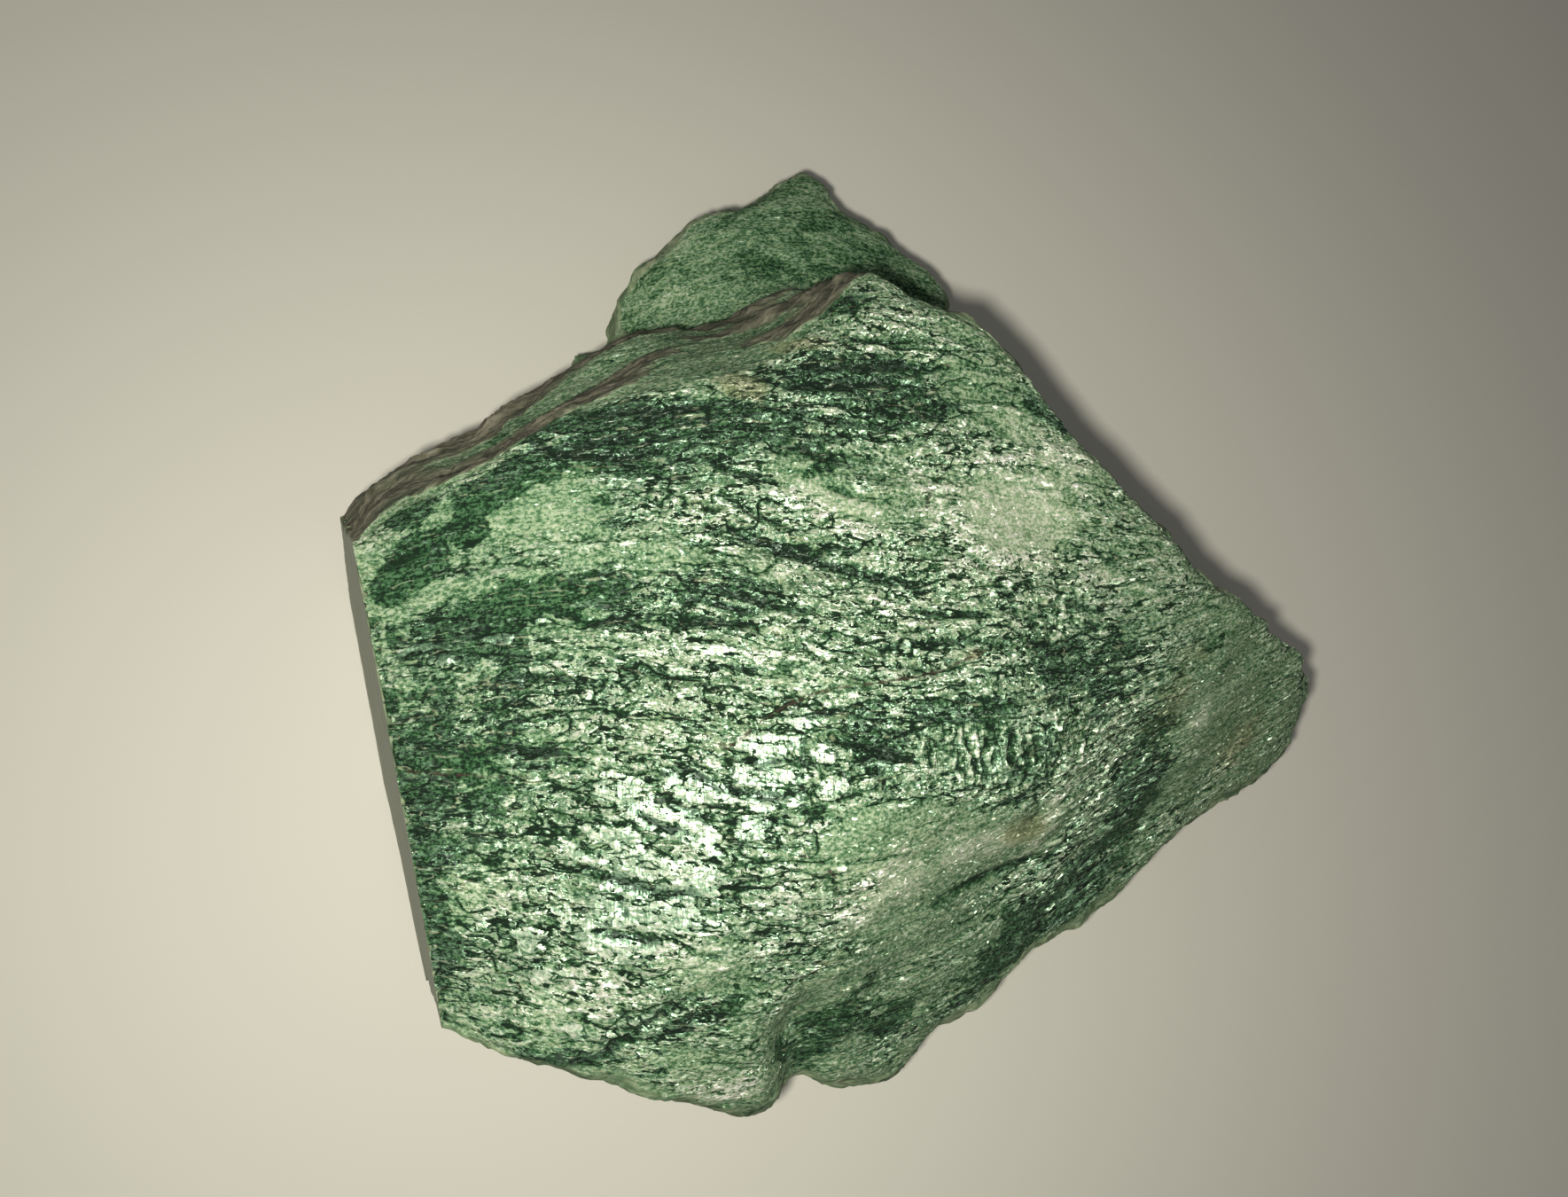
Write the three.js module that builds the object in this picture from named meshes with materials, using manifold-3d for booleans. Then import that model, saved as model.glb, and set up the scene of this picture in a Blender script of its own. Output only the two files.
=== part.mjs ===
// Raw fuchsite: a broken lump of green mica schist, one solid piece of stone.
//
// The lump lies on a flat cleavage face. Its top is a gently domed, crinkled mica face, about 35 mm up,
// that falls away to the front and to the lower right. The left side was sawn off flat. The back is a
// steep weathered rind that drops to a low terrace, a second layer of the same rock, about 13 mm up.
// Millimetres, +Z up, +X to the right, +Y to the back. The origin is under the middle of the lump.
//
// The form is one distance function, negative inside the stone: an upper block and a lower slab, each an
// outline with a leaning wall and a top made of a few dipping faces. Its surface is meshed on a grid, and
// the two truly flat faces, the sawn one and the one that it lies on, are then cut clean.

import * as THREE from 'three';
import { mergeVertices } from 'three/addons/utils/BufferGeometryUtils.js';
import Module from 'manifold-3d';

// ---- driving dimensions ------------------------------------------------------------------------

const MESH_LOW = [-56, -53, -6]; // the corners of the meshing grid, clear of the lump all round
const MESH_HIGH = [56, 56, 44];
const CELL = 2.0; // size of its cells
const SHOULDER_ROUND = 3.0; // how softly two faces of the top meet
const RIM_ROUND = 0.8; // how softly the top meets a wall
const WAIST = 0.45; // height of a wall's waist, as a share of its edge's height

// The block's top edge, clockwise from the left corner. Each row is x, y, z of the edge, then how far the
// wall stands out from it at the waist and at the foot. A minus sign is an undercut.
const BLOCK_EDGE = [
  // the rind's edge, along the back left, up to the horn
  [-46.4, 1.8, 31, 4.2, 1.8],
  [-43.2, 3.1, 32, 7.1, 3.1],
  [-38.2, 5.8, 33, 7.7, 3.6],
  [-33.6, 8.4, 33.5, 7.7, 4.1],
  [-26.9, 12.6, 34, 8.6, 7.4],
  [-19.7, 15.2, 34, 11.4, 12.3],
  [-14.6, 16.6, 34, 12.0, 13.0],
  [-11.7, 18.4, 34, 11.0, 12.0],
  [-8.4, 22.5, 33, 8.0, 10.0],
  [-4.2, 27.6, 32.5, 5.5, 8.0],
  // the long right edge
  [-0.6, 24.4, 33, 4.0, 7.0],
  [4.5, 23.0, 33, 3.0, 6.0],
  [10.0, 18.9, 33, 2.5, 4.0],
  [14.2, 12.6, 33, 2.0, 3.0],
  [18.7, 7.8, 32.5, 1.5, 2.0],
  [24.8, 4.2, 32, 1.5, 1.0],
  [29.3, 0.2, 31, 1.0, 0.0],
  [35.9, -1.0, 29, 0.5, -1.5],
  [43.5, -3.4, 26, 0.0, -3.0],
  [49.2, -5.7, 22, -0.5, -4.0],
  [53.1, -11.3, 18, -1.0, -4.5],
  // the lower right edge
  [49.1, -17.3, 14, -1.0, -4.0],
  [42.4, -20.6, 12, -1.0, -3.5],
  [35.7, -23.2, 11, -1.0, -3.0],
  [29.1, -29.0, 10.5, -1.0, -3.0],
  [22.5, -32.2, 10, -0.5, -2.5],
  [16.7, -34.0, 9.5, -0.5, -2.5],
  [12.5, -39.6, 9.5, -0.5, -2.5],
  [6.5, -40.0, 10, -0.5, -2.5],
  // the front edge, with its notch
  [4.3, -44.7, 11, -0.5, -3.0],
  [0.4, -45.2, 12, -0.5, -3.5],
  [-3.9, -44.9, 13, -0.5, -3.5],
  [-8.0, -42.7, 15, -0.5, -2.5],
  [-10.0, -44.7, 17, -0.8, -4.0],
  [-13.2, -46.0, 19, -1.0, -4.5],
  [-18.5, -44.0, 22, -1.0, -4.5],
  [-25.3, -40.5, 25.5, -1.0, -4.0],
  [-30.0, -40.0, 26.5, -1.0, -4.0],
  [-37.4, -35.8, 27.5, -1.0, -3.5],
  // past the sawn face, which cuts this end off
  [-45.0, -29.5, 28, 0.0, -16.0],
  [-50.0, -14.0, 30, 0.0, 0.0],
];

// The block's top: each face passes through a point and dips by an angle towards a compass angle
// (0 is +X, 90 is +Y).
const BLOCK_TOP = [
  { name: 'plateau', through: [-3, 0, 36.6], dip: 2, towards: 60 },
  { name: 'back flank', through: [-9, 6, 36.0], dip: 8, towards: 95 },
  { name: 'left flank', through: [-20, -10, 35.5], dip: 14, towards: 186 },
  { name: 'left front corner', through: [-32, -26, 31.0], dip: 17, towards: 214 },
  { name: 'front shoulder', through: [-26, -36, 30.4], dip: 30, towards: 250 },
  { name: 'front brow', through: [-18, -35, 30.2], dip: 30, towards: 272 },
  { name: 'front slope', through: [-13, -36, 30.4], dip: 46, towards: 284 },
  { name: 'front right brow', through: [-9, -25.5, 34.6], dip: 29, towards: 288 },
  { name: 'front right slope', through: [-5.2, -29.9, 31.8], dip: 47, towards: 296 },
  { name: 'lower right slope', through: [13.2, -12.4, 33.5], dip: 45, towards: 302 },
  { name: 'right end', through: [33, -8, 28.5], dip: 32, towards: 325 },
  { name: 'right flank', through: [13, 0, 34.8], dip: 11, towards: 350 },
];

// The slab's outline, x and y, clockwise, with the terrace along its back. The rest is inside the block.
const SLAB_EDGE = [
  [-28.0, 22.0],
  [-26.4, 24.6],
  [-28.2, 30.2],
  [-22.1, 27.0],
  [-24.5, 31.8],
  [-22.4, 34.3],
  [-19.9, 36.9],
  [-16.2, 41.2],
  [-11.2, 43.1],
  [-8.2, 45.2],
  [-5.0, 47.8],
  [-2.4, 51.3],
  [1.4, 48.4],
  [1.1, 44.6],
  [6.3, 42.4],
  [10.6, 38.8],
  [13.3, 34.3],
  [10.5, 29.5],
  [16.5, 24.0],
  [1.0, 4.0],
  [-24.0, 9.0],
];
const SLAB_LEAN = 0.12; // how far its wall stands in at the foot, per millimetre of height
const SLAB_TOP = [
  { name: 'terrace', through: [-5, 38, 13.2], dip: 8, towards: 190 },
  { name: 'terrace end', through: [-22, 30, 9.5], dip: 35, towards: 205 },
  { name: 'terrace brow', through: [-6, 44, 12.2], dip: 24, towards: 75 },
];

// The two faces that are truly flat.
const SAWN_FACE = { through: [-43.9, -12.6, 20], towards: 191.8, lean: 2 };
const BASE_TRIM = 1.0; // how much of the rough underside lies below the flat that it rests on

// Which way the mica's grain runs over the top: x, y and the grain's compass angle there.
const GRAIN_REACH = 8;
const GRAIN = [
  [-23, 11, 0], [-8, 15, -6], [-12, 4, -26], [-24, 3, -12], [-35, -4, 24], [-26, -2, -6],
  [-33, -12, 7], [-40, -14, 3], [-39, -22, -3], [-41, -28, -14], [-18, -7, -6], [-9, -8, -3],
  [-1, -4, -8], [8, -3, 4], [16, -4, 6], [27, -6, 14], [-23, -19, -15], [-15, -16, -4],
  [-26, -24, -6], [8, -14, 98], [13, 2, 84], [18, -15, 74], [18, -23, 62], [7, -34, 40],
  [-5, -36, 30], [-21, -40, 18], [-31, -36, -18], [-33, -25, 84], [37, -12, 38], [15, 9, -30],
];

// The deepest furrows of the top, as lines of x and y.
const FURROWS = [
  { depth: 1.2, width: 1.8, along: [[-16.4, 2.1], [-13.0, 0.8], [-9.9, -0.6], [-6.0, -1.9], [-3.1, -3.0]] },
  { depth: 0.9, width: 1.8, along: [[-30.9, 10.2], [-25.5, 9.7], [-20.1, 9.4], [-15.3, 10.7]] },
  { depth: 0.9, width: 1.8, along: [[-12.0, 14.2], [-7.6, 15.6], [-3.6, 15.6], [0.5, 16.9]] },
  { depth: 0.8, width: 1.8, along: [[-12.7, 10.1], [-7.9, 11.5], [-3.3, 10.8]] },
  { depth: 0.9, width: 1.8, along: [[-27.6, 5.9], [-22.9, 5.5], [-18.8, 3.9], [-15.1, 2.5]] },
  { depth: 0.8, width: 1.8, along: [[-32.0, -17.7], [-26.9, -17.2], [-21.8, -18.3], [-17.2, -17.4], [-14.0, -16.7]] },
  { depth: 0.8, width: 1.8, along: [[-30.6, -21.6], [-25.6, -22.1], [-21.1, -20.9], [-16.8, -21.4], [-12.1, -19.9]] },
  { depth: 0.8, width: 1.8, along: [[-29.9, -24.9], [-24.2, -25.3], [-19.0, -25.9]] },
  { depth: 0.8, width: 1.8, along: [[-18.5, -14.8], [-13.9, -13.2], [-9.8, -14.6], [-5.9, -15.6]] },
  { depth: 2.2, width: 2.5, along: [[-10.4, -36.7], [-9.3, -39.3], [-8.4, -42.3]] },
  { depth: 0.9, width: 1.9, along: [[17.6, -31.2], [22.5, -26.7], [27.0, -23.4], [29.3, -19.6]] },
  { depth: 1.3, width: 1.9, along: [[-29.0, -39.6], [-25.4, -38.8], [-24.7, -37.2], [-21.8, -36.5], [-18.3, -36.1]] },
  { depth: 0.8, width: 1.8, along: [[-44.3, -0.8], [-41.8, -1.6], [-38.6, 0.1], [-36.0, 0.3]] },
  { depth: 0.8, width: 1.8, along: [[-30.8, -1.1], [-26.9, -2.1], [-23.0, -4.6], [-18.3, -5.3]] },
];

// ---- noise -------------------------------------------------------------------------------------

const fade = (t) => t * t * t * (t * (t * 6 - 15) + 10);
const mix = (a, b, t) => a + (b - a) * t;
const radians = (degrees) => (degrees * Math.PI) / 180;

// One of these slopes is picked for each corner of a grid of whole numbers.
const SLOPES = [
  [1, 1, 0], [-1, 1, 0], [1, -1, 0], [-1, -1, 0], [1, 0, 1], [-1, 0, 1], [1, 0, -1], [-1, 0, -1],
  [0, 1, 1], [0, -1, 1], [0, 1, -1], [0, -1, -1], [1, 1, 0], [-1, 1, 0], [0, -1, 1], [0, -1, -1],
];

function cornerSlope(x, y, z, seed) {
  let h = Math.imul(x, 374761393) ^ Math.imul(y, 668265263) ^ Math.imul(z, 1442695041) ^ Math.imul(seed, 974711);
  h = Math.imul(h ^ (h >>> 13), 1274126177);
  h = Math.imul(h ^ (h >>> 15), 2246822519);
  return SLOPES[(h ^ (h >>> 16)) & 15];
}

// Smooth noise, from about -1 to 1, with lumps about one unit across.
function noise(x, y, z, seed) {
  const [ix, iy, iz] = [Math.floor(x), Math.floor(y), Math.floor(z)];
  const [fx, fy, fz] = [x - ix, y - iy, z - iz];
  const at = (i, j, k) => {
    const [gx, gy, gz] = cornerSlope(ix + i, iy + j, iz + k, seed);
    return gx * (fx - i) + gy * (fy - j) + gz * (fz - k);
  };
  const [u, v, w] = [fade(fx), fade(fy), fade(fz)];
  const layer = (k) => mix(mix(at(0, 0, k), at(1, 0, k), u), mix(at(0, 1, k), at(1, 1, k), u), v);
  return mix(layer(0), layer(1), w) * 1.2;
}

// ---- the form ----------------------------------------------------------------------------------

// The larger of two distances, with the corner between them rounded over k.
function softMax(a, b, k) {
  const h = Math.max(k - Math.abs(a - b), 0) / k;
  return Math.max(a, b) + (h * h * k) / 4;
}

const softMin = (a, b, k) => -softMax(-a, -b, k);

// Distance to an outline in the plane, negative inside.
function outlineDistance(x, y, points) {
  let nearest = Infinity;
  let inside = false;
  for (let i = 0, j = points.length - 1; i < points.length; j = i++) {
    const [ax, ay] = points[j];
    const [bx, by] = points[i];
    const [ex, ey] = [bx - ax, by - ay];
    const t = Math.min(1, Math.max(0, ((x - ax) * ex + (y - ay) * ey) / (ex * ex + ey * ey)));
    nearest = Math.min(nearest, Math.hypot(x - ax - ex * t, y - ay - ey * t));
    if (by > y !== ay > y && x < ((ax - bx) * (y - by)) / (ay - by) + bx) inside = !inside;
  }
  return inside ? -nearest : nearest;
}

// The outward direction at each corner of a clockwise outline.
function outwardDirections(points) {
  return points.map((_, i) => {
    const before = points[(i + points.length - 1) % points.length];
    const after = points[(i + 1) % points.length];
    const [dx, dy] = [after[0] - before[0], after[1] - before[1]];
    return [-dy / Math.hypot(dx, dy), dx / Math.hypot(dx, dy)];
  });
}

const blockOutward = outwardDirections(BLOCK_EDGE);
const slabOutward = outwardDirections(SLAB_EDGE);

// How far a wall stands out at a share of its edge's height, by way of its waist. Above the edge it goes
// on as it was, for a short way.
function standOut(share, waist, foot) {
  const t = Math.min(1.15, Math.max(0, share));
  return t < WAIST ? mix(foot, waist, t / WAIST) : waist * (1 - (t - WAIST) / (1 - WAIST));
}

function blockOutline(z) {
  return BLOCK_EDGE.map(([x, y, top, waist, foot], i) => {
    const out = standOut(z / top, waist, foot);
    return [x + blockOutward[i][0] * out, y + blockOutward[i][1] * out];
  });
}

function slabOutline(z) {
  const out = SLAB_LEAN * (z - 12);
  return SLAB_EDGE.map(([x, y], i) => [x + slabOutward[i][0] * out, y + slabOutward[i][1] * out]);
}

// The outward direction of a face that dips by an angle towards a compass angle.
function faceNormal(dip, towards) {
  const [d, a] = [radians(dip), radians(towards)];
  return [Math.sin(d) * Math.cos(a), Math.sin(d) * Math.sin(a), Math.cos(d)];
}

function facesDistance(x, y, z, faces, round) {
  let d = -Infinity;
  for (const face of faces) {
    const [nx, ny, nz] = faceNormal(face.dip, face.towards);
    const [px, py, pz] = face.through;
    const one = (x - px) * nx + (y - py) * ny + (z - pz) * nz;
    d = d === -Infinity ? one : softMax(d, one, round);
  }
  return d;
}

// The mica grain's direction at a place on the top.
function grainDirection(x, y) {
  let [c, s] = [1e-6, 0];
  for (const [gx, gy, angle] of GRAIN) {
    const weight = Math.exp(-((x - gx) ** 2 + (y - gy) ** 2) / (2 * GRAIN_REACH ** 2));
    c += weight * Math.cos(radians(2 * angle));
    s += weight * Math.sin(radians(2 * angle));
  }
  const angle = Math.atan2(s, c) / 2;
  return [Math.cos(angle), Math.sin(angle)];
}

// Noise smeared along the grain, so that it makes long ridges: size is their width, reach half their length.
function grainNoise(x, y, z, size, reach, seed) {
  const steps = 5;
  const stride = reach / steps;
  let sum = noise(x / size, y / size, z / size, seed);
  for (const way of [-1, 1]) {
    let [px, py] = [x, y];
    for (let i = 0; i < steps; i++) {
      const [dx, dy] = grainDirection(px, py);
      px += way * stride * dx;
      py += way * stride * dy;
      sum += noise(px / size, py / size, z / size, seed);
    }
  }
  return (sum / (2 * steps + 1)) * 2.2;
}

// How deep the furrows cut at a place.
function furrowDepth(x, y) {
  let deepest = 0;
  for (const { depth, width, along } of FURROWS) {
    let nearest = Infinity;
    for (let i = 1; i < along.length; i++) {
      const [ax, ay] = along[i - 1];
      const [ex, ey] = [along[i][0] - ax, along[i][1] - ay];
      const t = Math.min(1, Math.max(0, ((x - ax) * ex + (y - ay) * ey) / (ex * ex + ey * ey)));
      nearest = Math.min(nearest, Math.hypot(x - ax - ex * t, y - ay - ey * t));
    }
    deepest = Math.max(deepest, depth * Math.exp(-((nearest / width) ** 2)));
  }
  return deepest;
}

// Long swells, ridges and furrows of the mica face, in millimetres outward.
function topRelief(x, y, z) {
  const swell = 0.8 * noise(x / 14, y / 14, z / 14, 3) + 0.3 * noise(x / 6, y / 6, z / 6, 4);
  const ridges = 0.8 * (0.4 - Math.abs(grainNoise(x, y, z, 3.4, 7, 5)));
  return swell + ridges - furrowDepth(x, y);
}

// Broken layers along the walls: ledges that run level, over lumps.
function wallRelief(x, y, z) {
  const lumps = 0.7 * noise(x / 9, y / 9, z / 9, 7) + 0.4 * noise(x / 4.5, y / 4.5, z / 4.5, 8);
  const layers = 0.7 * noise(x / 14, y / 14, z / 3.2, 9);
  return lumps + layers;
}

const outlines = new Map();
function outlineAt(z) {
  const key = Math.round(z * 20);
  if (!outlines.has(key)) outlines.set(key, [blockOutline(key / 20), slabOutline(key / 20)]);
  return outlines.get(key);
}

function stoneDistance(x, y, z) {
  const [block, slab] = outlineAt(z);
  const wall = wallRelief(x, y, z);
  const top = topRelief(x, y, z);
  const upper = softMax(
    outlineDistance(x, y, block) - wall,
    facesDistance(x, y, z, BLOCK_TOP, SHOULDER_ROUND) - top,
    RIM_ROUND,
  );
  const lower = softMax(
    outlineDistance(x, y, slab) - 0.7 * wall,
    facesDistance(x, y, z, SLAB_TOP, SHOULDER_ROUND) - 0.7 * top,
    RIM_ROUND,
  );
  return softMax(softMin(upper, lower, 1.2), -z - BASE_TRIM, RIM_ROUND);
}

// ---- meshing -----------------------------------------------------------------------------------

// Where the stone, or the gap beside it, is thinner than a cell, the surface would touch itself, so such
// places are filled with stone.
function fillPinches(values, size, index) {
  const step = [1, size[0], size[0] * size[1]];
  const inside = (n) => values[n] < 0;
  const fill = (corners) => {
    const empty = corners.filter((n) => !inside(n));
    values[empty.reduce((a, b) => (values[a] < values[b] ? a : b))] = -0.1;
    return true;
  };
  const checkCell = (n) => {
    for (const [a, b] of [[0, 1], [1, 2], [0, 2]])
      for (const base of [n, n + step[3 - a - b]]) {
        const [p, q, r, s] = [base, base + step[a], base + step[b], base + step[a] + step[b]];
        if (inside(p) === inside(s) && inside(q) === inside(r) && inside(p) !== inside(q)) return fill([p, q, r, s]);
      }
    const all = [0, 1, 2, 3, 4, 5, 6, 7].map((c) => n + (c & 1) * step[0] + ((c >> 1) & 1) * step[1] + (c >> 2) * step[2]);
    const within = all.filter(inside);
    const opposite = (c) => all.indexOf(c[0]) + all.indexOf(c[1]) === 7;
    if (within.length === 2 && opposite(within)) return fill(all);
    const without = all.filter((c) => !inside(c));
    if (without.length === 2 && opposite(without)) return fill(without);
    return false;
  };
  for (let found = true; found; ) {
    found = false;
    for (let k = 0; k < size[2] - 1; k++)
      for (let j = 0; j < size[1] - 1; j++)
        for (let i = 0; i < size[0] - 1; i++) while (checkCell(index(i, j, k))) found = true;
  }
}

// One point in each grid cell that the surface passes through, where it passes on average, and two
// triangles over each grid edge that it crosses.
function surfaceMesh(distance, low, high, cell) {
  const size = low.map((v, i) => Math.ceil((high[i] - v) / cell) + 1);
  const index = (i, j, k) => (k * size[1] + j) * size[0] + i;
  const values = new Float32Array(size[0] * size[1] * size[2]);
  for (let k = 0; k < size[2]; k++)
    for (let j = 0; j < size[1]; j++)
      for (let i = 0; i < size[0]; i++)
        values[index(i, j, k)] = distance(low[0] + i * cell, low[1] + j * cell, low[2] + k * cell);

  const corners = [0, 1, 2, 3, 4, 5, 6, 7].map((n) => [n & 1, (n >> 1) & 1, (n >> 2) & 1]);
  fillPinches(values, size, index);
  const positions = [];
  const pointOf = new Map();
  for (let k = 0; k < size[2] - 1; k++)
    for (let j = 0; j < size[1] - 1; j++)
      for (let i = 0; i < size[0] - 1; i++) {
        const here = corners.map(([a, b, c]) => values[index(i + a, j + b, k + c)]);
        if (here.every((v) => v < 0) || here.every((v) => v >= 0)) continue;
        const sum = [0, 0, 0];
        let crossings = 0;
        corners.forEach((from, n) =>
          [1, 2, 4].forEach((bit) => {
            if (n & bit || here[n] < 0 === here[n | bit] < 0) return;
            const t = here[n] / (here[n] - here[n | bit]);
            const to = corners[n | bit];
            for (let axis = 0; axis < 3; axis++) sum[axis] += mix(from[axis], to[axis], t);
            crossings++;
          }),
        );
        pointOf.set(index(i, j, k), positions.length / 3);
        [i, j, k].forEach((v, axis) => positions.push(low[axis] + (v + sum[axis] / crossings) * cell));
      }

  // each point is drawn onto the surface itself
  for (let n = 0; n < positions.length; n += 3) {
    const p = positions.slice(n, n + 3);
    const d = distance(...p);
    const e = 0.05;
    const slope = [0, 1, 2].map((axis) => (distance(...p.map((v, i) => v + (i === axis ? e : 0))) - d) / e);
    const steep = Math.max(0.4, Math.hypot(...slope));
    const move = Math.max(-0.3 * cell, Math.min(0.3 * cell, d / steep));
    slope.forEach((v, axis) => (positions[n + axis] -= (move * v) / steep));
  }

  const triangles = [];
  const addQuad = (a, b, c, d, flip) =>
    flip ? triangles.push(a, c, b, a, d, c) : triangles.push(a, b, c, a, c, d);
  for (let k = 1; k < size[2] - 1; k++)
    for (let j = 1; j < size[1] - 1; j++)
      for (let i = 1; i < size[0] - 1; i++) {
        const inside = values[index(i, j, k)] < 0;
        const at = (a, b, c) => pointOf.get(index(i - a, j - b, k - c));
        if (inside !== values[index(i + 1, j, k)] < 0)
          addQuad(at(0, 1, 1), at(0, 0, 1), at(0, 0, 0), at(0, 1, 0), !inside);
        if (inside !== values[index(i, j + 1, k)] < 0)
          addQuad(at(1, 0, 1), at(1, 0, 0), at(0, 0, 0), at(0, 0, 1), !inside);
        if (inside !== values[index(i, j, k + 1)] < 0)
          addQuad(at(1, 1, 0), at(0, 1, 0), at(0, 0, 0), at(1, 0, 0), !inside);
      }
  const geometry = new THREE.BufferGeometry();
  geometry.setAttribute('position', new THREE.Float32BufferAttribute(positions, 3));
  geometry.setIndex(triangles);
  return geometry;
}

// ---- cutting the flat faces --------------------------------------------------------------------

const wasm = await Module();
wasm.setup();

function toSolid(geometry) {
  geometry.deleteAttribute('normal');
  geometry.deleteAttribute('uv');
  const merged = mergeVertices(geometry, 1e-4);
  return new wasm.Manifold(
    new wasm.Mesh({
      numProp: 3,
      vertProperties: merged.attributes.position.array,
      triVerts: new Uint32Array(merged.index.array),
    }),
  );
}

function toGeometry(solid) {
  const { vertProperties, triVerts } = solid.getMesh();
  const geometry = new THREE.BufferGeometry();
  geometry.setAttribute('position', new THREE.BufferAttribute(vertProperties, 3));
  geometry.setIndex(new THREE.BufferAttribute(triVerts, 1));
  return geometry;
}

// A block that covers everything outside a flat face.
function blockBeyond(through, outward) {
  const side = 300;
  const box = new THREE.BoxGeometry(side, side, side);
  const direction = new THREE.Vector3(...outward);
  box.translate(0, 0, side / 2);
  box.applyQuaternion(new THREE.Quaternion().setFromUnitVectors(new THREE.Vector3(0, 0, 1), direction));
  box.translate(...through);
  return toSolid(box);
}

const rough = surfaceMesh(stoneDistance, MESH_LOW, MESH_HIGH, CELL);
const sawn = blockBeyond(SAWN_FACE.through, faceNormal(90 - SAWN_FACE.lean, SAWN_FACE.towards));
const table = blockBeyond([0, 0, 0], [0, 0, -1]);
const cut = toSolid(rough).subtract(sawn).subtract(table);
const { min, max } = cut.boundingBox();
const stone = cut.translate([-(min[0] + max[0]) / 2, -(min[1] + max[1]) / 2, 0]);

const geometry = toGeometry(stone);
geometry.computeVertexNormals();
const material = new THREE.MeshStandardMaterial({ color: 0x6f8f6b, roughness: 0.45, metalness: 0 });
const fuchsite = new THREE.Mesh(geometry, material);
fuchsite.name = 'fuchsite';

const group = new THREE.Group();
group.add(fuchsite);

export default group;
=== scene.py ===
# %% [markdown]
# # A lump of raw fuchsite
#
# Fuchsite is a green mica that is coloured by chromium. In a rock such as this one, its flakes lie flat in
# crumpled sheets. The rock splits along them, so the top is one crinkled, silky face that runs over the
# whole lump. Across the sheets it breaks in steps: those edges are dull, layered walls. Behind the top there
# is a lower terrace, and the left side was sawn flat.
#
# The packed solid is the frame. It already has the block, the terrace, the sawn side and the deepest
# furrows. Here the lump gets its crinkles, its flakes, its colours and its shine.

import math
from types import SimpleNamespace

import bmesh
import bpy
import numpy as np
from mathutils import Matrix, Vector


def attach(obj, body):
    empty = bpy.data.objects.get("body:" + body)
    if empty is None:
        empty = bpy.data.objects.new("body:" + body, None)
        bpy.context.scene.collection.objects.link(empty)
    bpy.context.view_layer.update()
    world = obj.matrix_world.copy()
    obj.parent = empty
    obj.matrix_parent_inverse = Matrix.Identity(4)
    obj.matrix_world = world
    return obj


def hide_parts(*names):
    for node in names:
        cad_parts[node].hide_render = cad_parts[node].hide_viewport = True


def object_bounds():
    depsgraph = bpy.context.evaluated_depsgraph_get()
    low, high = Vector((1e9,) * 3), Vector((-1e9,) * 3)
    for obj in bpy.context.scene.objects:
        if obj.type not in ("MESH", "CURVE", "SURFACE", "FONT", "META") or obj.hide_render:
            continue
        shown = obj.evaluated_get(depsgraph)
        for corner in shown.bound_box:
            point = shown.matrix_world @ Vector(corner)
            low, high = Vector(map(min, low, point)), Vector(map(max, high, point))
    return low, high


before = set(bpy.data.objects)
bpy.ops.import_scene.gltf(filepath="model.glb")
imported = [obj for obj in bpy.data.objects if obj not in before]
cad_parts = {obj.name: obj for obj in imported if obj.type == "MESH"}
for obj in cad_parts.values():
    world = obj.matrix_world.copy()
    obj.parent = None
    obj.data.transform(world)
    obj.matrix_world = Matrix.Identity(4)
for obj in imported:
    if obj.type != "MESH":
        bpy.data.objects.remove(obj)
cad_box = [list(corner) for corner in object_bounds()]
MM = 0.001
NODE = "fuchsite"

# %% [markdown]
# ## Camera
#
# The lump is seen from close above, from its left, by a camera with a wide lens that is turned a little so
# that +X runs to the right of the view. A close camera makes the near parts larger, so its distance
# matters as much as its angle. It is placed by its three directions and its position.

# %% Camera
CAMERA_AT = Vector((-44.83, -22.95, 124.48)) * MM
VIEW_RIGHT = Vector((0.95406, -0.02826, 0.29828))
VIEW_UP = Vector((-0.02826, 0.98261, 0.18350))

lens = bpy.data.cameras.new("Camera")
lens.lens = 28
lens.sensor_width = 36
lens.sensor_fit = "HORIZONTAL"
lens.clip_start = 0.01
camera = bpy.data.objects.new("Camera", lens)
towards_viewer = VIEW_RIGHT.cross(VIEW_UP)
turn = Matrix((VIEW_RIGHT, VIEW_UP, towards_viewer)).transposed()
camera.matrix_world = Matrix.Translation(CAMERA_AT) @ turn.to_4x4()
bpy.context.scene.collection.objects.link(camera)
bpy.context.scene.camera = camera
print("camera is", round(CAMERA_AT.z / MM), "mm above the floor")

# %% [markdown]
# ## Light
#
# Mica shows its crinkles only when a fairly small light stands close to the eye, because each flake is a
# small mirror. So the key light is a disc beside the camera. A large weak panel and a grey surround keep
# the shadows open. The standard view transform keeps the greens as they are mixed.

# %% Lights
LUMP_MIDDLE = Vector((0, 0, 20)) * MM
KEY_AT = CAMERA_AT - 0.007 * VIEW_RIGHT - 0.006 * VIEW_UP + 0.003 * towards_viewer
PANEL_AT = Vector((-0.25, -0.30, 0.60))


def disc_light(name, at, size, watts, colour):
    data = bpy.data.lights.new(name, "AREA")
    data.shape = "DISK"
    data.size = size
    data.energy = watts
    data.color = colour
    light = bpy.data.objects.new(name, data)
    light.location = at
    light.rotation_euler = (LUMP_MIDDLE - at).to_track_quat("-Z", "Y").to_euler()
    bpy.context.scene.collection.objects.link(light)


disc_light("Key light", KEY_AT, 0.007, 0.17, (1.0, 0.98, 0.93))
disc_light("Fill panel", PANEL_AT, 0.50, 0.3, (1.0, 0.99, 0.96))

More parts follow.
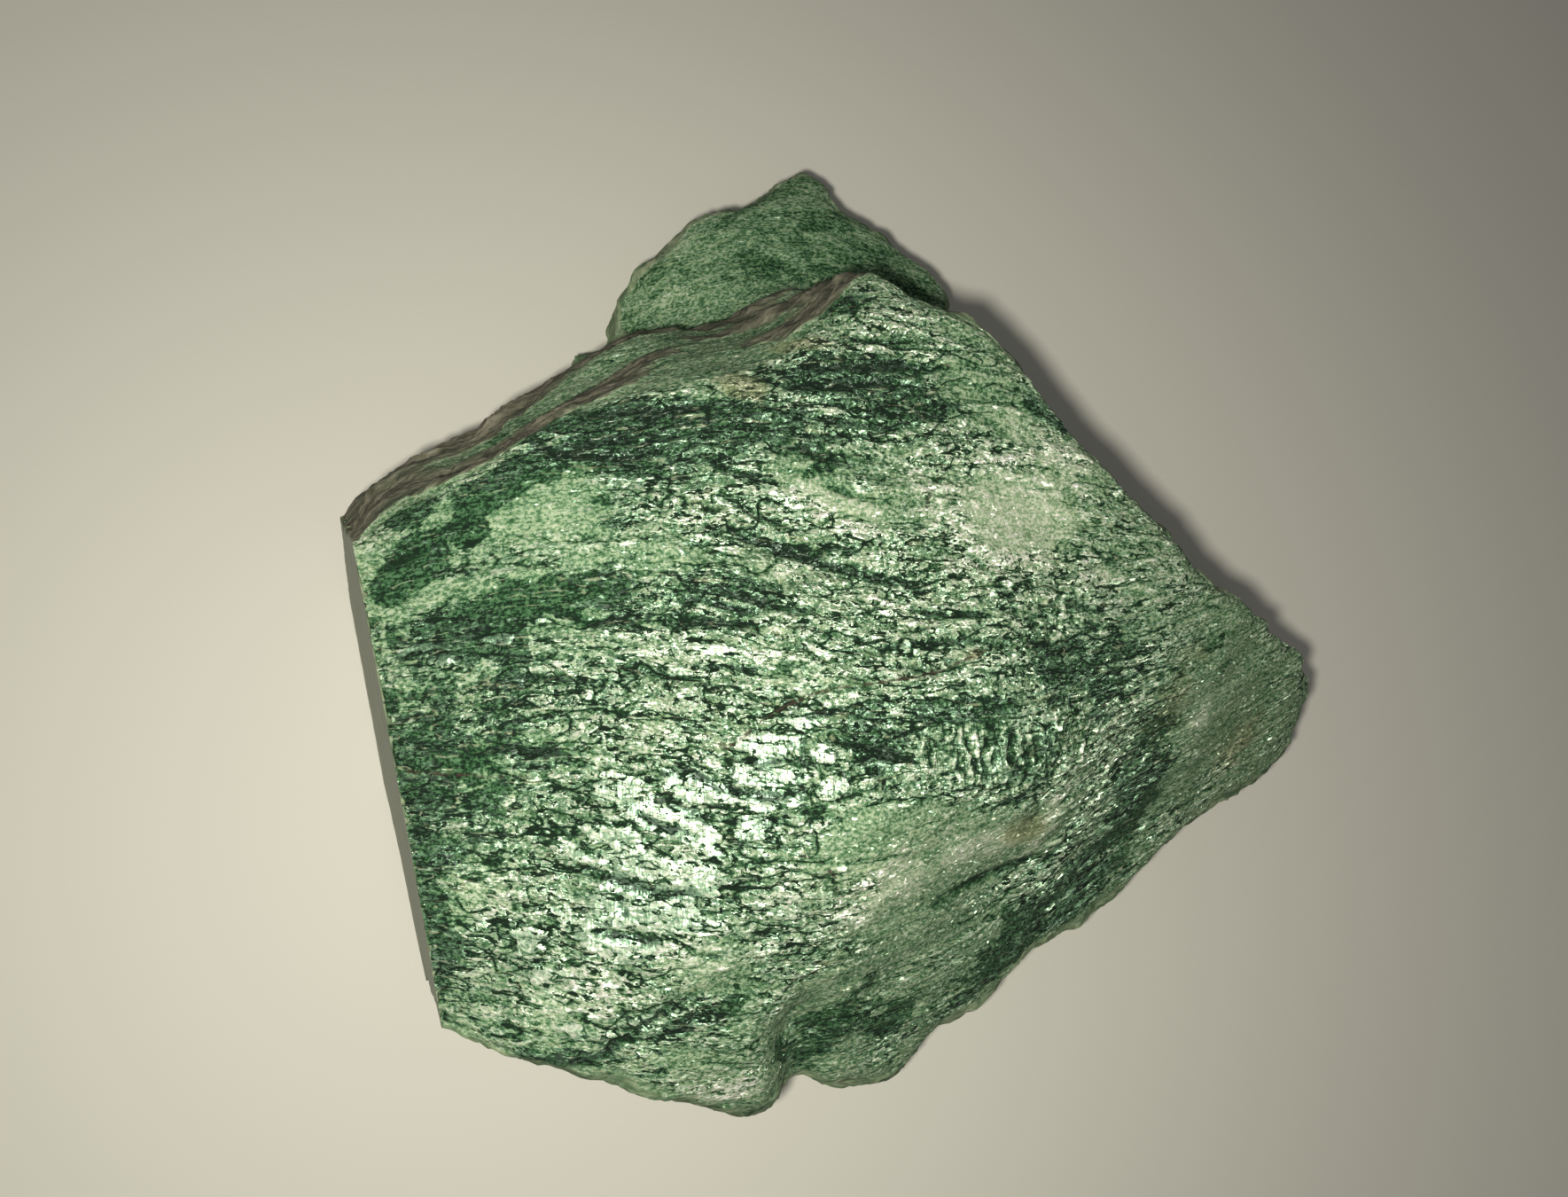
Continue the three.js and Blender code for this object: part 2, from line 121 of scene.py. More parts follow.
world = bpy.data.worlds.new("Surround")
world.use_nodes = True
world.node_tree.nodes["Background"].inputs["Color"].default_value = (0.93, 0.95, 1.0, 1)
world.node_tree.nodes["Background"].inputs["Strength"].default_value = 0.13
bpy.context.scene.world = world
bpy.context.scene.view_settings.view_transform = "Standard"
bpy.context.scene.view_settings.look = "None"

# %% [markdown]
# ## The lump's skin
#
# The packed solid has facets about 2 mm across. A voxel remesh turns a copy of it into an even skin of small
# squares, and smoothing takes the facets away. Smoothing would also round the edges of the lump, so a point
# on a crease hardly moves. The sawn face and the underside are truly flat, so their points are put back on
# their planes.

# %% Copy the solid and remesh it
SQUARE = 0.50 * MM
SAME_POINT = 1e-6


def apply_modifiers(thing):
    bpy.context.view_layer.update()
    graph = bpy.context.evaluated_depsgraph_get()
    seen = thing.evaluated_get(graph)
    mesh = bpy.data.meshes.new_from_object(seen, preserve_all_data_layers=True, depsgraph=graph)
    thing.modifiers.clear()
    thing.data = mesh
    mesh.calc_loop_triangles()
    return mesh


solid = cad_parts[NODE].data.copy()
merged = bmesh.new()
merged.from_mesh(solid)
bmesh.ops.remove_doubles(merged, verts=merged.verts, dist=SAME_POINT)
merged.to_mesh(solid)
merged.free()
solid.materials.clear()
lump = bpy.data.objects.new("Fuchsite_lump", solid)
bpy.context.scene.collection.objects.link(lump)
remesh = lump.modifiers.new("Remesh", "REMESH")
remesh.mode = "VOXEL"
remesh.voxel_size = SQUARE
skin = apply_modifiers(lump)
print("skin has", len(skin.polygons), "squares")

# %% Read points, normals and edges, and average over neighbours
def read(items, field, width, kind):
    flat = np.empty(len(items) * width, kind)
    items.foreach_get(field, flat)
    return flat.reshape(-1, width)


def points_of(mesh):
    return read(mesh.vertices, "co", 3, np.float32).astype(float)


def normals_of(mesh):
    return read(mesh.vertex_normals, "vector", 3, np.float32).astype(float)


def edges_of(mesh):
    return read(mesh.edges, "vertices", 2, np.int32)


def neighbour_mean(values, pairs):
    total = np.zeros_like(values)
    count = np.zeros(len(values))
    for here, there in (pairs.T, pairs.T[::-1]):
        count += np.bincount(here, minlength=len(values))
        for axis in range(values.shape[1]):
            total[:, axis] += np.bincount(here, weights=values[there, axis], minlength=len(values))
    return total / count[:, None]


points, normals, pairs = points_of(skin), normals_of(skin), edges_of(skin)
print("read", len(points), "points and", len(pairs), "edges")

# %% Smooth the skin, but keep its creases and flats
SAWN_TURN = math.radians(191.8)
SAWN_SLOPE = math.radians(2)
SAWN_NORMAL = Vector((math.cos(SAWN_TURN), math.sin(SAWN_TURN), math.tan(SAWN_SLOPE))).normalized()
SAWN_POINT = Vector((-46.007, -14.654, 20)) * MM
SHARP_BEND, BEND_RANGE = 0.72, 0.2
CREASE_FREEDOM = 0.04
ON_PLANE = 0.4 * SQUARE
FACING = 0.9
SMOOTHING_ROUNDS = 28
SMOOTHING_SHARE = 0.5

bend = (normals[pairs[:, 0]] * normals[pairs[:, 1]]).sum(1)
crease = np.ones(len(points))
for column in (0, 1):
    np.minimum.at(crease, pairs[:, column], bend)
freedom = np.clip((crease - SHARP_BEND) / BEND_RANGE, CREASE_FREEDOM, 1.0)
sawn_distance = (points - np.array(SAWN_POINT)) @ np.array(SAWN_NORMAL)
on_sawn = (abs(sawn_distance) < ON_PLANE) & (normals @ np.array(SAWN_NORMAL) > FACING)
on_base = (points[:, 2] < ON_PLANE) & (normals[:, 2] < -FACING)
freedom[on_sawn | on_base] = 0
for _ in range(SMOOTHING_ROUNDS):
    points += (neighbour_mean(points, pairs) - points) * SMOOTHING_SHARE * freedom[:, None]
points[on_sawn] -= np.outer(sawn_distance[on_sawn], np.array(SAWN_NORMAL))
points[on_base, 2] = 0
skin.vertices.foreach_set("co", points.astype(np.float32).ravel())
skin.update()
print("smoothed all but", int(on_sawn.sum()), "sawn points and", int(on_base.sum()), "points underneath")

# %% [markdown]
# ## Finer squares on the mica face
#
# The crinkles of the mica face are under a millimetre wide, so its squares are split in four. The walls and
# the underside keep the larger ones. Once the crinkles are in, squares that turned out flat are merged.

# %% Split the squares of the mica face
MICA_FACE_ABOVE = 12 * MM


def on_mica_face(face):
    return face.normal.z > 0.5 and face.calc_center_median().z > MICA_FACE_ABOVE


finer = bmesh.new()
finer.from_mesh(skin)
chosen = {edge for face in finer.faces if on_mica_face(face) for edge in face.edges}
bmesh.ops.subdivide_edges(finer, edges=list(chosen), cuts=1, use_grid_fill=True, smooth=0)
finer.to_mesh(skin)
finer.free()
skin.calc_loop_triangles()
print("skin has", len(skin.loop_triangles), "triangles")

# %% [markdown]
# ## The grain
#
# The flakes are smeared out along a grain that runs roughly from left to right and bends round the lump.
# Every ridge, streak and stain follows it. So each point of the skin gets two grain coordinates in
# millimetres: u along the grain and v across it. They come from a coarse plan grid, solved so that u grows
# along the grain and v across it everywhere, as nearly as a bending grain allows. Any pattern that is drawn
# in u and v then bends with the rock.

# %% Grain directions over the plan: x, y in mm and the compass angle
GRAIN = [
    (-25.1, 9.3, 0), (-10.1, 13.3, -6), (-14.1, 2.3, -26), (-26.1, 1.3, -10), (-37.1, -5.7, 18),
    (-28.1, -3.7, -6), (-35.1, -13.7, 5), (-42.1, -15.7, 3), (-41.1, -23.7, -3), (-43.1, -29.7, -14),
    (-20.1, -8.7, -6), (-11.1, -9.7, -3), (-3.1, -5.7, -8), (5.9, -4.7, 2), (13.9, -5.7, 6),
    (24.9, -7.7, 24), (-25.1, -20.7, -12), (-17.1, -17.7, -4), (-28.1, -25.7, -8), (3.9, -16.7, 4),
    (10.9, 0.3, -20), (19.9, -18.7, 55), (17.9, -24.7, 62), (4.9, -35.7, 38), (-7.1, -37.7, 28),
    (-23.1, -41.7, 16), (-33.1, -37.7, -14), (34.9, -13.7, 50), (12.9, 7.3, -32), (-4.0, 22.0, -30),
    (-12.0, 40.0, 20), (-20.0, 32.0, 25), (0.0, 36.0, -20),
]
GRAIN_REACH = 7.0
FAR_WEIGHT = 1e-6
GRID_STEP = 2.0
GRID_LOW = (-56.0, -54.0)
GRID_SHAPE = (57, 56)


def grain_angle(x, y):
    """the mean of the directions nearby; far from all of them it runs along +X"""
    c, s = 1e-4, 0.0
    for gx, gy, angle in GRAIN:
        weight = np.exp(-((x - gx) ** 2 + (y - gy) ** 2) / (2 * GRAIN_REACH**2)) + FAR_WEIGHT
        c = c + weight * math.cos(math.radians(angle))
        s = s + weight * math.sin(math.radians(angle))
    return np.arctan2(s, c)


grid_x = GRID_LOW[0] + GRID_STEP * np.arange(GRID_SHAPE[0])[:, None] + np.zeros(GRID_SHAPE)
grid_y = GRID_LOW[1] + GRID_STEP * np.arange(GRID_SHAPE[1])[None, :] + np.zeros(GRID_SHAPE)
angle = grain_angle(grid_x, grid_y)
print("grain bends from", round(math.degrees(angle.min())), "to", round(math.degrees(angle.max())), "degrees")

# %% Solve the two grain coordinates on the grid
def solve_coordinate(slope_x, slope_y):
    """heights whose slopes on the grid are as close as they can be to the given ones"""
    nx, ny = GRID_SHAPE
    index = np.arange(nx * ny).reshape(nx, ny)
    normal = np.zeros((nx * ny, nx * ny))
    right = np.zeros(nx * ny)
    for ahead, behind, slope in (
        (index[1:], index[:-1], (slope_x[1:] + slope_x[:-1]) / 2),
        (index[:, 1:], index[:, :-1], (slope_y[:, 1:] + slope_y[:, :-1]) / 2),
    ):
        a, b, rise = ahead.ravel(), behind.ravel(), slope.ravel() * GRID_STEP
        for i, j, sign in ((a, a, 1), (b, b, 1), (a, b, -1), (b, a, -1)):
            np.add.at(normal, (i, j), sign)
        np.add.at(right, a, rise)
        np.add.at(right, b, -rise)
    normal[0, 0] += 1
    return np.linalg.solve(normal, right).reshape(nx, ny)


grain_u = solve_coordinate(np.cos(angle), np.sin(angle))
grain_v = solve_coordinate(-np.sin(angle), np.cos(angle))
print("grain runs from", round(float(grain_u.min())), "to", round(float(grain_u.max())), "mm along u")

# %% Read the grain at each point of the skin
def cubic_weights(t):
    return [
        (1 - t) ** 3 / 6,
        (3 * t**3 - 6 * t**2 + 4) / 6,
        (-3 * t**3 + 3 * t**2 + 3 * t + 1) / 6,
        t**3 / 6,
    ]


def read_grid(grid, x, y):
    gx, gy = (x - GRID_LOW[0]) / GRID_STEP, (y - GRID_LOW[1]) / GRID_STEP
    ix, iy = np.floor(gx).astype(int), np.floor(gy).astype(int)
    total = 0
    for i, wx in enumerate(cubic_weights(gx - ix)):
        for j, wy in enumerate(cubic_weights(gy - iy)):
            total = total + wx * wy * grid[ix + i - 1, iy + j - 1]
    return total


def store(mesh, name, values):
    kind, field = ("FLOAT_VECTOR", "vector") if np.ndim(values) == 2 else ("FLOAT", "value")
    attribute = mesh.attributes.new(name, kind, "POINT")
    attribute.data.foreach_set(field, np.asarray(values, np.float32).ravel())


points, normals = points_of(skin) / MM, normals_of(skin)
x, y, z = points.T
store(skin, "grain", np.stack([read_grid(grain_u, x, y), read_grid(grain_v, x, y), z], 1))
print("grain is stored at", len(points), "points")

# %% [markdown]
# ## Where the rock differs from place to place
#
# The face isn't the same all over. Some of it is dark mica, some is pale with feldspar, and some is stained
# brown. Some is tightly crinkled, some has split into small plates, some was squeezed twice so that ribs
# cross the grain, and some is calm. A painted mask would be hard to change, so each such place is noted as an
# oval: x, y, half its length, half its width, the angle that it lies at, and how strong it is. The ovals only
# set the balance. The noise in the finish gives them their ragged edges.

# %% Ovals of colour
DARK = [
    (11.3, -9.4, 8, 6, 0, 0.55), (22.7, -19.6, 5, 9, 0, 0.6), (31.2, -10.6, 5, 5, 0, 0.1),
    (7, -2.1, 5, 3, 0, 0.15), (-44.9, -13.6, 10, 16, 0, 0.3), (-10.5, 33.8, 5, 1.6, -20, 0.5),
    (-9, 20.9, 4, 1.4, 10, 0.6), (-0.8, 21.7, 3, 1, -30, 0.3), (19.9, -25.3, 6, 3, 50, 0.5),
    (-41.7, -13.7, 9, 9, 0, 0.35), (-39.1, -21.6, 8, 4, 0, 0.45), (-31.5, -5.1, 12, 3.6, 3, 0.3),
    (-26.9, 6.6, 12, 3.4, -3, 0.6), (-40.6, -8.4, 8, 3, 10, 0.5), (-0.8, -17.7, 12, 4, 0, 0.25),
    (-25.4, 8.6, 12, 2.4, 2, 1), (-29.6, 6.3, 6, 1.6, -2, 0.8), (-9.4, 13.6, 7, 2.6, -2, 0.9),
    (-5.3, 12.3, 6, 2.4, -5, 0.8), (-13.6, 6.6, 5, 2, -20, 0.8), (-44.8, 1.2, 2.4, 1.3, 25, 1.3),
    (-44.2, -2.5, 3.8, 2.4, 40, 1.35), (-46, -4.7, 1.6, 1.6, 60, 1.2), (-40.5, 0.3, 1.6, 2.2, 0, 1.25),
    (-39.2, 2.7, 3.4, 1.4, 25, 1.3), (-35.7, 4.8, 3.6, 1.4, 20, 1.2), (-29, 0.7, 3, 0.8, 12, 0.8),
    (-35.7, 4.1, 4, 1.2, 18, 0.8), (-32.9, -4.9, 9, 3.2, 3, 0.5), (-39.3, -6.4, 4, 2, 10, 0.7),
    (-40.5, -12.4, 7, 4.5, 5, 0.4), (-42.9, -17.6, 6, 5, 0, 0.65), (-37.3, -16.4, 6, 3, 0, 0.4),
    (9.3, -11, 7, 3.5, 5, 0.5), (24, -21.2, 3.5, 6, 0, 0.8), (-9.3, -17.1, 2.8, 2.6, -30, 0.9),
    (12.2, -34.2, 10, 3.2, 36, 0.7), (21.5, -29.7, 7, 3, 40, 0.55), (-9.3, -40.4, 6, 3, 25, 0.6),
    (-1.3, -40.4, 4, 2.4, 30, 0.5), (-43, -26.5, 2.2, 6, 0, 0.8), (-41.9, -31, 2.4, 4, 0, 0.7),
    (3.7, -17.7, 8, 2.4, 0, 0.6), (27.3, -8.6, 4, 3, -20, 0.3), (-1, -14.2, 6, 2, 0, 0.5),
    (-9.9, 42.5, 4, 1.2, 20, 0.5), (-20.5, 33, 3, 1, 30, 0.5), (-4.5, 39.4, 3, 1, 30, 0.5),
    (3.2, 36.2, 3, 1.2, 30, 0.3), (-3, 34.3, 3, 0.8, 20, 0.4), (-24.6, 30.8, 2, 0.8, 30, 0.4),
    (-19.1, -27.3, 4, 2, 0, 0.4), (-28.9, 2.5, 5, 1, -5, 0.4), (8.6, 11.8, 3, 1.2, -35, 0.9),
    (-32.1, -39.3, 4, 1.5, 10, 0.6), (-21.3, -36.8, 5, 1.5, 20, 0.5), (-34.9, -33.2, 3, 2, 0, 0.3),
    (-20.3, -4.6, 8, 1, -8, 0.6), (-25, -7.2, 7, 0.9, -3, 0.7),
]

PALE = [
    (-23, -24, 12, 7, -10, 0.25), (-45.9, -0.1, 3, 5, -20, 0.5), (-42, -1.5, 2, 4, 20, 0.3),
    (-19.6, 28.5, 5, 3, 20, 0.8), (-16, 34.3, 3, 1.6, 10, 0.6), (-10.6, 30.7, 4, 1.2, 10, 0.5),
    (10.5, -22.7, 1.4, 5, -20, 0.6), (27.8, -14.8, 3, 3, 0, 0.5), (-35.6, 1.6, 8, 2.4, 8, 0.15),
    (-42.6, -5.1, 4, 1.4, 12, 0.5), (-47.5, -0.7, 1.4, 3, 60, 0.6), (-42.7, 0.8, 2.4, 1, 30, 0.6),
    (-12, 2.6, 6, 2.6, -25, 0.8), (3.9, 1.6, 8, 7, 0, 0.8), (8.9, 8.3, 5, 4, -40, 0.6),
    (-22.4, -9.7, 7, 1.8, -3, 0.5), (-29, -16, 5, 1.5, 0, 0.4), (-7.5, -27.9, 7, 3, 20, 0.7),
    (-32.3, -34.7, 6, 3.6, -10, 0.6), (-18.3, -43.8, 4.2, 1.6, 0, 1), (-5.8, -6.4, 6, 2, -15, 0.4),
    (20.5, -1.2, 5, 3, -40, 0.5), (-33, -0.3, 7, 1, 0, 0.35), (-23.5, 1.5, 6, 1.4, -15, 0.5),
    (-5.8, 21.2, 3, 2, 0, 0.5), (-29.6, 0.4, 6, 1.2, -3, 0.3), (1.6, -25.5, 7, 2, 10, 0.6),
    (-22.7, -32.5, 5, 2.5, 0, 0.5), (-16.9, -28.1, 4, 2, 0, 0.5), (-38.6, -27.3, 2.5, 2.5, 0, 0.6),
    (-1.1, 3.5, 5, 4, 0, 0.6), (-16.6, -3, 6, 0.8, -22, 0.6), (-29, -1.8, 8, 0.8, 2, 0.4),
    (-32.9, -3, 8, 0.5, 2, 0.4), (-14.3, 29.6, 4, 2, 0, 0.5), (-23.7, 28, 3, 2, 40, 0.5),
    (11.7, -1.8, 5, 3, -30, 0.5),
]

BROWN = [
    (7.7, -24, 3.6, 1.6, 8, 0.9), (-19.1, 12.3, 2.6, 1.8, 0, 1), (38.2, -16, 5, 3, 40, 0.7),
    (22.5, -13.4, 5, 3.5, 40, 0.6), (-13.9, 16.9, 3, 0.9, 0, 1), (16.3, -18.1, 3, 4, 0, 0.4),
    (24.7, -8.7, 4, 2, 0, 0.5), (-0.8, -9.8, 1, 0.5, 20, 1.2), (-22.1, 2, 4, 0.6, -10, 0.4),
    (6.1, -13.3, 4, 2, 0, 0.35), (-32.9, -1, 10, 0.5, 2, 0.35),
]
print(len(DARK), "dark,", len(PALE), "pale and", len(BROWN), "brown ovals")

# %% Ovals of texture
CRINKLED = [
    (18.4, -23.6, 5, 8, 0, 1.1), (14.7, -28.5, 6, 5, 0, 0.8), (-14.8, 0.2, 9, 2.6, -24, 1),
    (-9.5, 12.8, 8, 4.5, -3, 1), (-28.8, 7.8, 10, 3, 0, 0.8), (-22.3, -6.6, 9, 3, -5, 1),
    (-27.7, -12.7, 10, 3, 0, 0.9), (-22.4, -22.7, 12, 8, 0, 1), (-28.8, -29.6, 9, 7, 0, 0.85),
    (7.7, -5.8, 6, 5, 0, 0.9), (-10, -16.9, 8, 4, 0, 1), (-0.2, -2.6, 6, 4, 0, 0.6),
    (-3.9, -10, 8, 3, 0, 0.8), (12.5, -12.3, 8, 5, 0, 0.8), (-37.5, -32.5, 5, 4, 0, 0.5),
    (-23.5, 2.6, 7, 2.4, -15, 0.9), (-9.8, -7.3, 8, 2.4, -8, 0.9), (-35.2, -22.9, 7, 4, 0, 0.5),
    (-42.7, -24, 4, 7, 0, 0.5), (-14.8, -31.6, 6, 4, 0, 0.5), (-5.3, 18.7, 5, 3, 0, 0.7),
    (19.7, -21.2, 5, 6, 0, 0.8), (-25.5, -37.8, 6, 1.8, 20, 0.8), (0.1, 6.8, 6, 3, 0, 0.5),
    (3.9, -18.4, 9, 3, 0, 1), (-32.7, -20.4, 6, 3, 0, 0.6), (-40.7, -1.5, 4, 2, 10, 0.3),
]

PLATES = [
    (-17.9, -16.9, 3, 1.1, -4, 1), (-17.9, -19.2, 3.6, 1.4, 0, 1), (-17.4, -21.1, 3, 0.9, 2, 1),
    (-23.4, -19.8, 3.6, 1.4, -14, 1), (-25.6, -22.1, 4.6, 1.6, -25, 1), (-26.6, -26, 4.4, 1.9, -8, 1),
    (-23, -26.6, 2.4, 1.5, -15, 1), (-28.1, -28.7, 4.2, 2.2, -10, 1), (-24.6, -29.1, 2.2, 1.6, -20, 0.9),
    (-29, -31.3, 3.2, 1.8, -15, 0.9), (-19.1, -23, 2, 1, 0, 0.9), (-28.9, -19.7, 2.2, 1.4, -10, 0.9),
    (-13.3, -20.1, 1.5, 1.2, 0, 0.9), (-13.8, -17.6, 1.4, 0.9, -20, 0.9),
    (-22.2, -30.4, 2.1, 0.9, -10, 0.9), (-35.3, -30.9, 2, 1.4, 20, 0.8), (-31.9, -29.5, 2.2, 1.3, -40, 0.8),
    (-29.5, -23.1, 2.6, 1.2, -10, 0.8), (-32.6, -24.3, 2, 1, -20, 0.7), (-43.7, -9.2, 2, 0.7, 10, 0.6),
    (-41.8, -10.1, 1.6, 0.6, 0, 0.6), (-33.7, -33.3, 1.8, 1.1, 10, 0.8), (-22.3, -24.6, 1.6, 0.8, -20, 0.7),
    (-38.1, -8.5, 1.8, 0.6, -5, 0.7), (-42.3, -32.4, 1.2, 2, 0, 0.6), (-15.4, -15.2, 1.8, 0.7, -15, 0.8),
    (-35.5, -7.2, 2, 0.5, -5, 0.6), (-16.4, 2.9, 3, 0.6, -28, 0.8), (-19.9, 1.7, 2.4, 0.5, -28, 0.7),
    (-32.2, -37.6, 1.6, 0.9, -10, 0.6), (-26.3, -37, 2, 0.7, 25, 0.7), (-18.3, -12.8, 1.8, 0.5, -10, 0.7),
    (-8.2, -6.5, 2, 0.5, -8, 0.6), (-22.4, -9.4, 2.2, 0.6, -5, 0.7), (-29, -14, 2, 0.6, -5, 0.6),
]

CROSSED = [
    (1.9, -17.8, 8, 2.6, -2, 1), (-4, -17.7, 3.4, 2.4, 0, 0.7), (10.2, -16.1, 3, 3, 10, 0.8),
    (8.2, -5.8, 3, 2.4, 0, 0.6), (-15.8, -17.5, 3, 4, 0, 0.3), (-13.2, -19.6, 3, 2.5, 0, 0.5),
]

CALM = [
    (-35.6, 1.6, 8, 2.2, 6, 0.8), (-32.9, -4.9, 8, 2.4, 3, 0.55), (-43.2, -2.8, 4, 3, 20, 0.6),
    (3.9, 1.6, 6, 4, 0, 0.7), (-11.7, -24.3, 6, 2.6, 10, 0.9), (-2.4, -28.2, 8, 3, 20, 0.8),
    (11.3, -32.4, 8, 3, 36, 0.4), (31.2, -10.6, 6, 6, 0, 0.6), (-32.3, -35.3, 5, 2.4, 0, 0.5),
    (-22, -33.2, 4, 1.6, 0, 0.5), (-11.9, 3.1, 4, 1.6, -20, 0.5), (-39.7, -19, 5, 2, 0, 0.4),
    (3.2, 5, 4, 2, 0, 0.7), (-25.4, 8.8, 8, 1.2, 0, 0.4), (-0.1, -24, 6, 1.6, 8, 0.7),
]
print(len(CRINKLED), "crinkled,", len(PLATES), "plated and", len(CROSSED + CALM), "other ovals")

# %% Turn the ovals into values at each point
OVAL_FALL, OVAL_RIM = 1.1, 1.3


def ovals(rows):
    """the strongest oval at each point, with a flat middle and a soft rim"""
    total = np.zeros(len(x))
    for ox, oy, length, width, lie, strength in rows:
        c, s = math.cos(math.radians(lie)), math.sin(math.radians(lie))
        along = ((x - ox) * c + (y - oy) * s) / length
        across = ((y - oy) * c - (x - ox) * s) / width
        total = np.maximum(total, strength * np.exp(-OVAL_FALL * (along**2 + across**2) ** OVAL_RIM))
    return total


def step(value, low, high):
    """0 below low, 1 above high, with soft ends"""
    t = np.clip((value - low) / (high - low), 0, 1)
    return t * t * (3 - 2 * t)


calm = ovals(CALM)
tint = ovals(DARK) - ovals(PALE)
print("tint runs from", round(float(tint.min()), 2), "for pale to", round(float(tint.max()), 2), "for dark")

# %% Tell the face, the terrace, the walls and the rind apart by slope and height in mm
FACE_SLOPE, FACE_HEIGHT = (0.35, 0.62), (10, 14)
TERRACE_SLOPE, TERRACE_FLOOR, TERRACE_ROOF, TERRACE_Y = (0.45, 0.75), (4, 7), (15, 17), (24, 28)
RIND_FACES, RIND_SLOPE, RIND_HEIGHT = (-0.62, 0.70, 0.35), (0.45, 0.8), (9, 14)
STEEP_SLOPE = 0.35

upward = normals[:, 2]
mica_face = step(upward, *FACE_SLOPE) * step(z, *FACE_HEIGHT)
terrace_heights = step(z, *TERRACE_FLOOR) * (1 - step(z, *TERRACE_ROOF))
terrace = step(upward, *TERRACE_SLOPE) * terrace_heights * step(y, *TERRACE_Y)
face = np.maximum(mica_face, terrace)
rind = step(normals @ np.array(RIND_FACES), *RIND_SLOPE) * step(z, *RIND_HEIGHT) * (1 - mica_face)
crinkled = np.clip(0.50 + 0.65 * ovals(CRINKLED) - 0.50 * calm, 0.05, 1.1)
LAYERS = {
    "tint": tint + 0.25 * terrace,
    "terrace": terrace,
    "brown": ovals(BROWN),
    "crinkled": crinkled * (1 - 0.45 * terrace) * (0.3 + 0.7 * step(upward, 0.5, 0.8)),
    "steep": np.clip((1 - upward) / STEEP_SLOPE, 0, 1) * step(upward, 0.5, 0.75),
    "plated": ovals(PLATES),
    "crossed": ovals(CROSSED) * (1 - 0.5 * calm),
    "face": face,
    "rind": rind,
    "underside": step(-upward, 0.6, 0.9),
}
for name, values in LAYERS.items():
    store(skin, name, values)
print("stored:", list(LAYERS))

# %% [markdown]
# ## Folds and cracks
#
# The sharpest lines on the face are folds of the mica sheets, and a few hairline cracks across them. They
# could be cut with a sculpting brush, but a list of lines can be read and changed. Each line is a row of
# points x, y in mm. A fold also has its depth and the width of its trough. The skin keeps the depth of the
# folds, and how far each point is from the nearest crack.

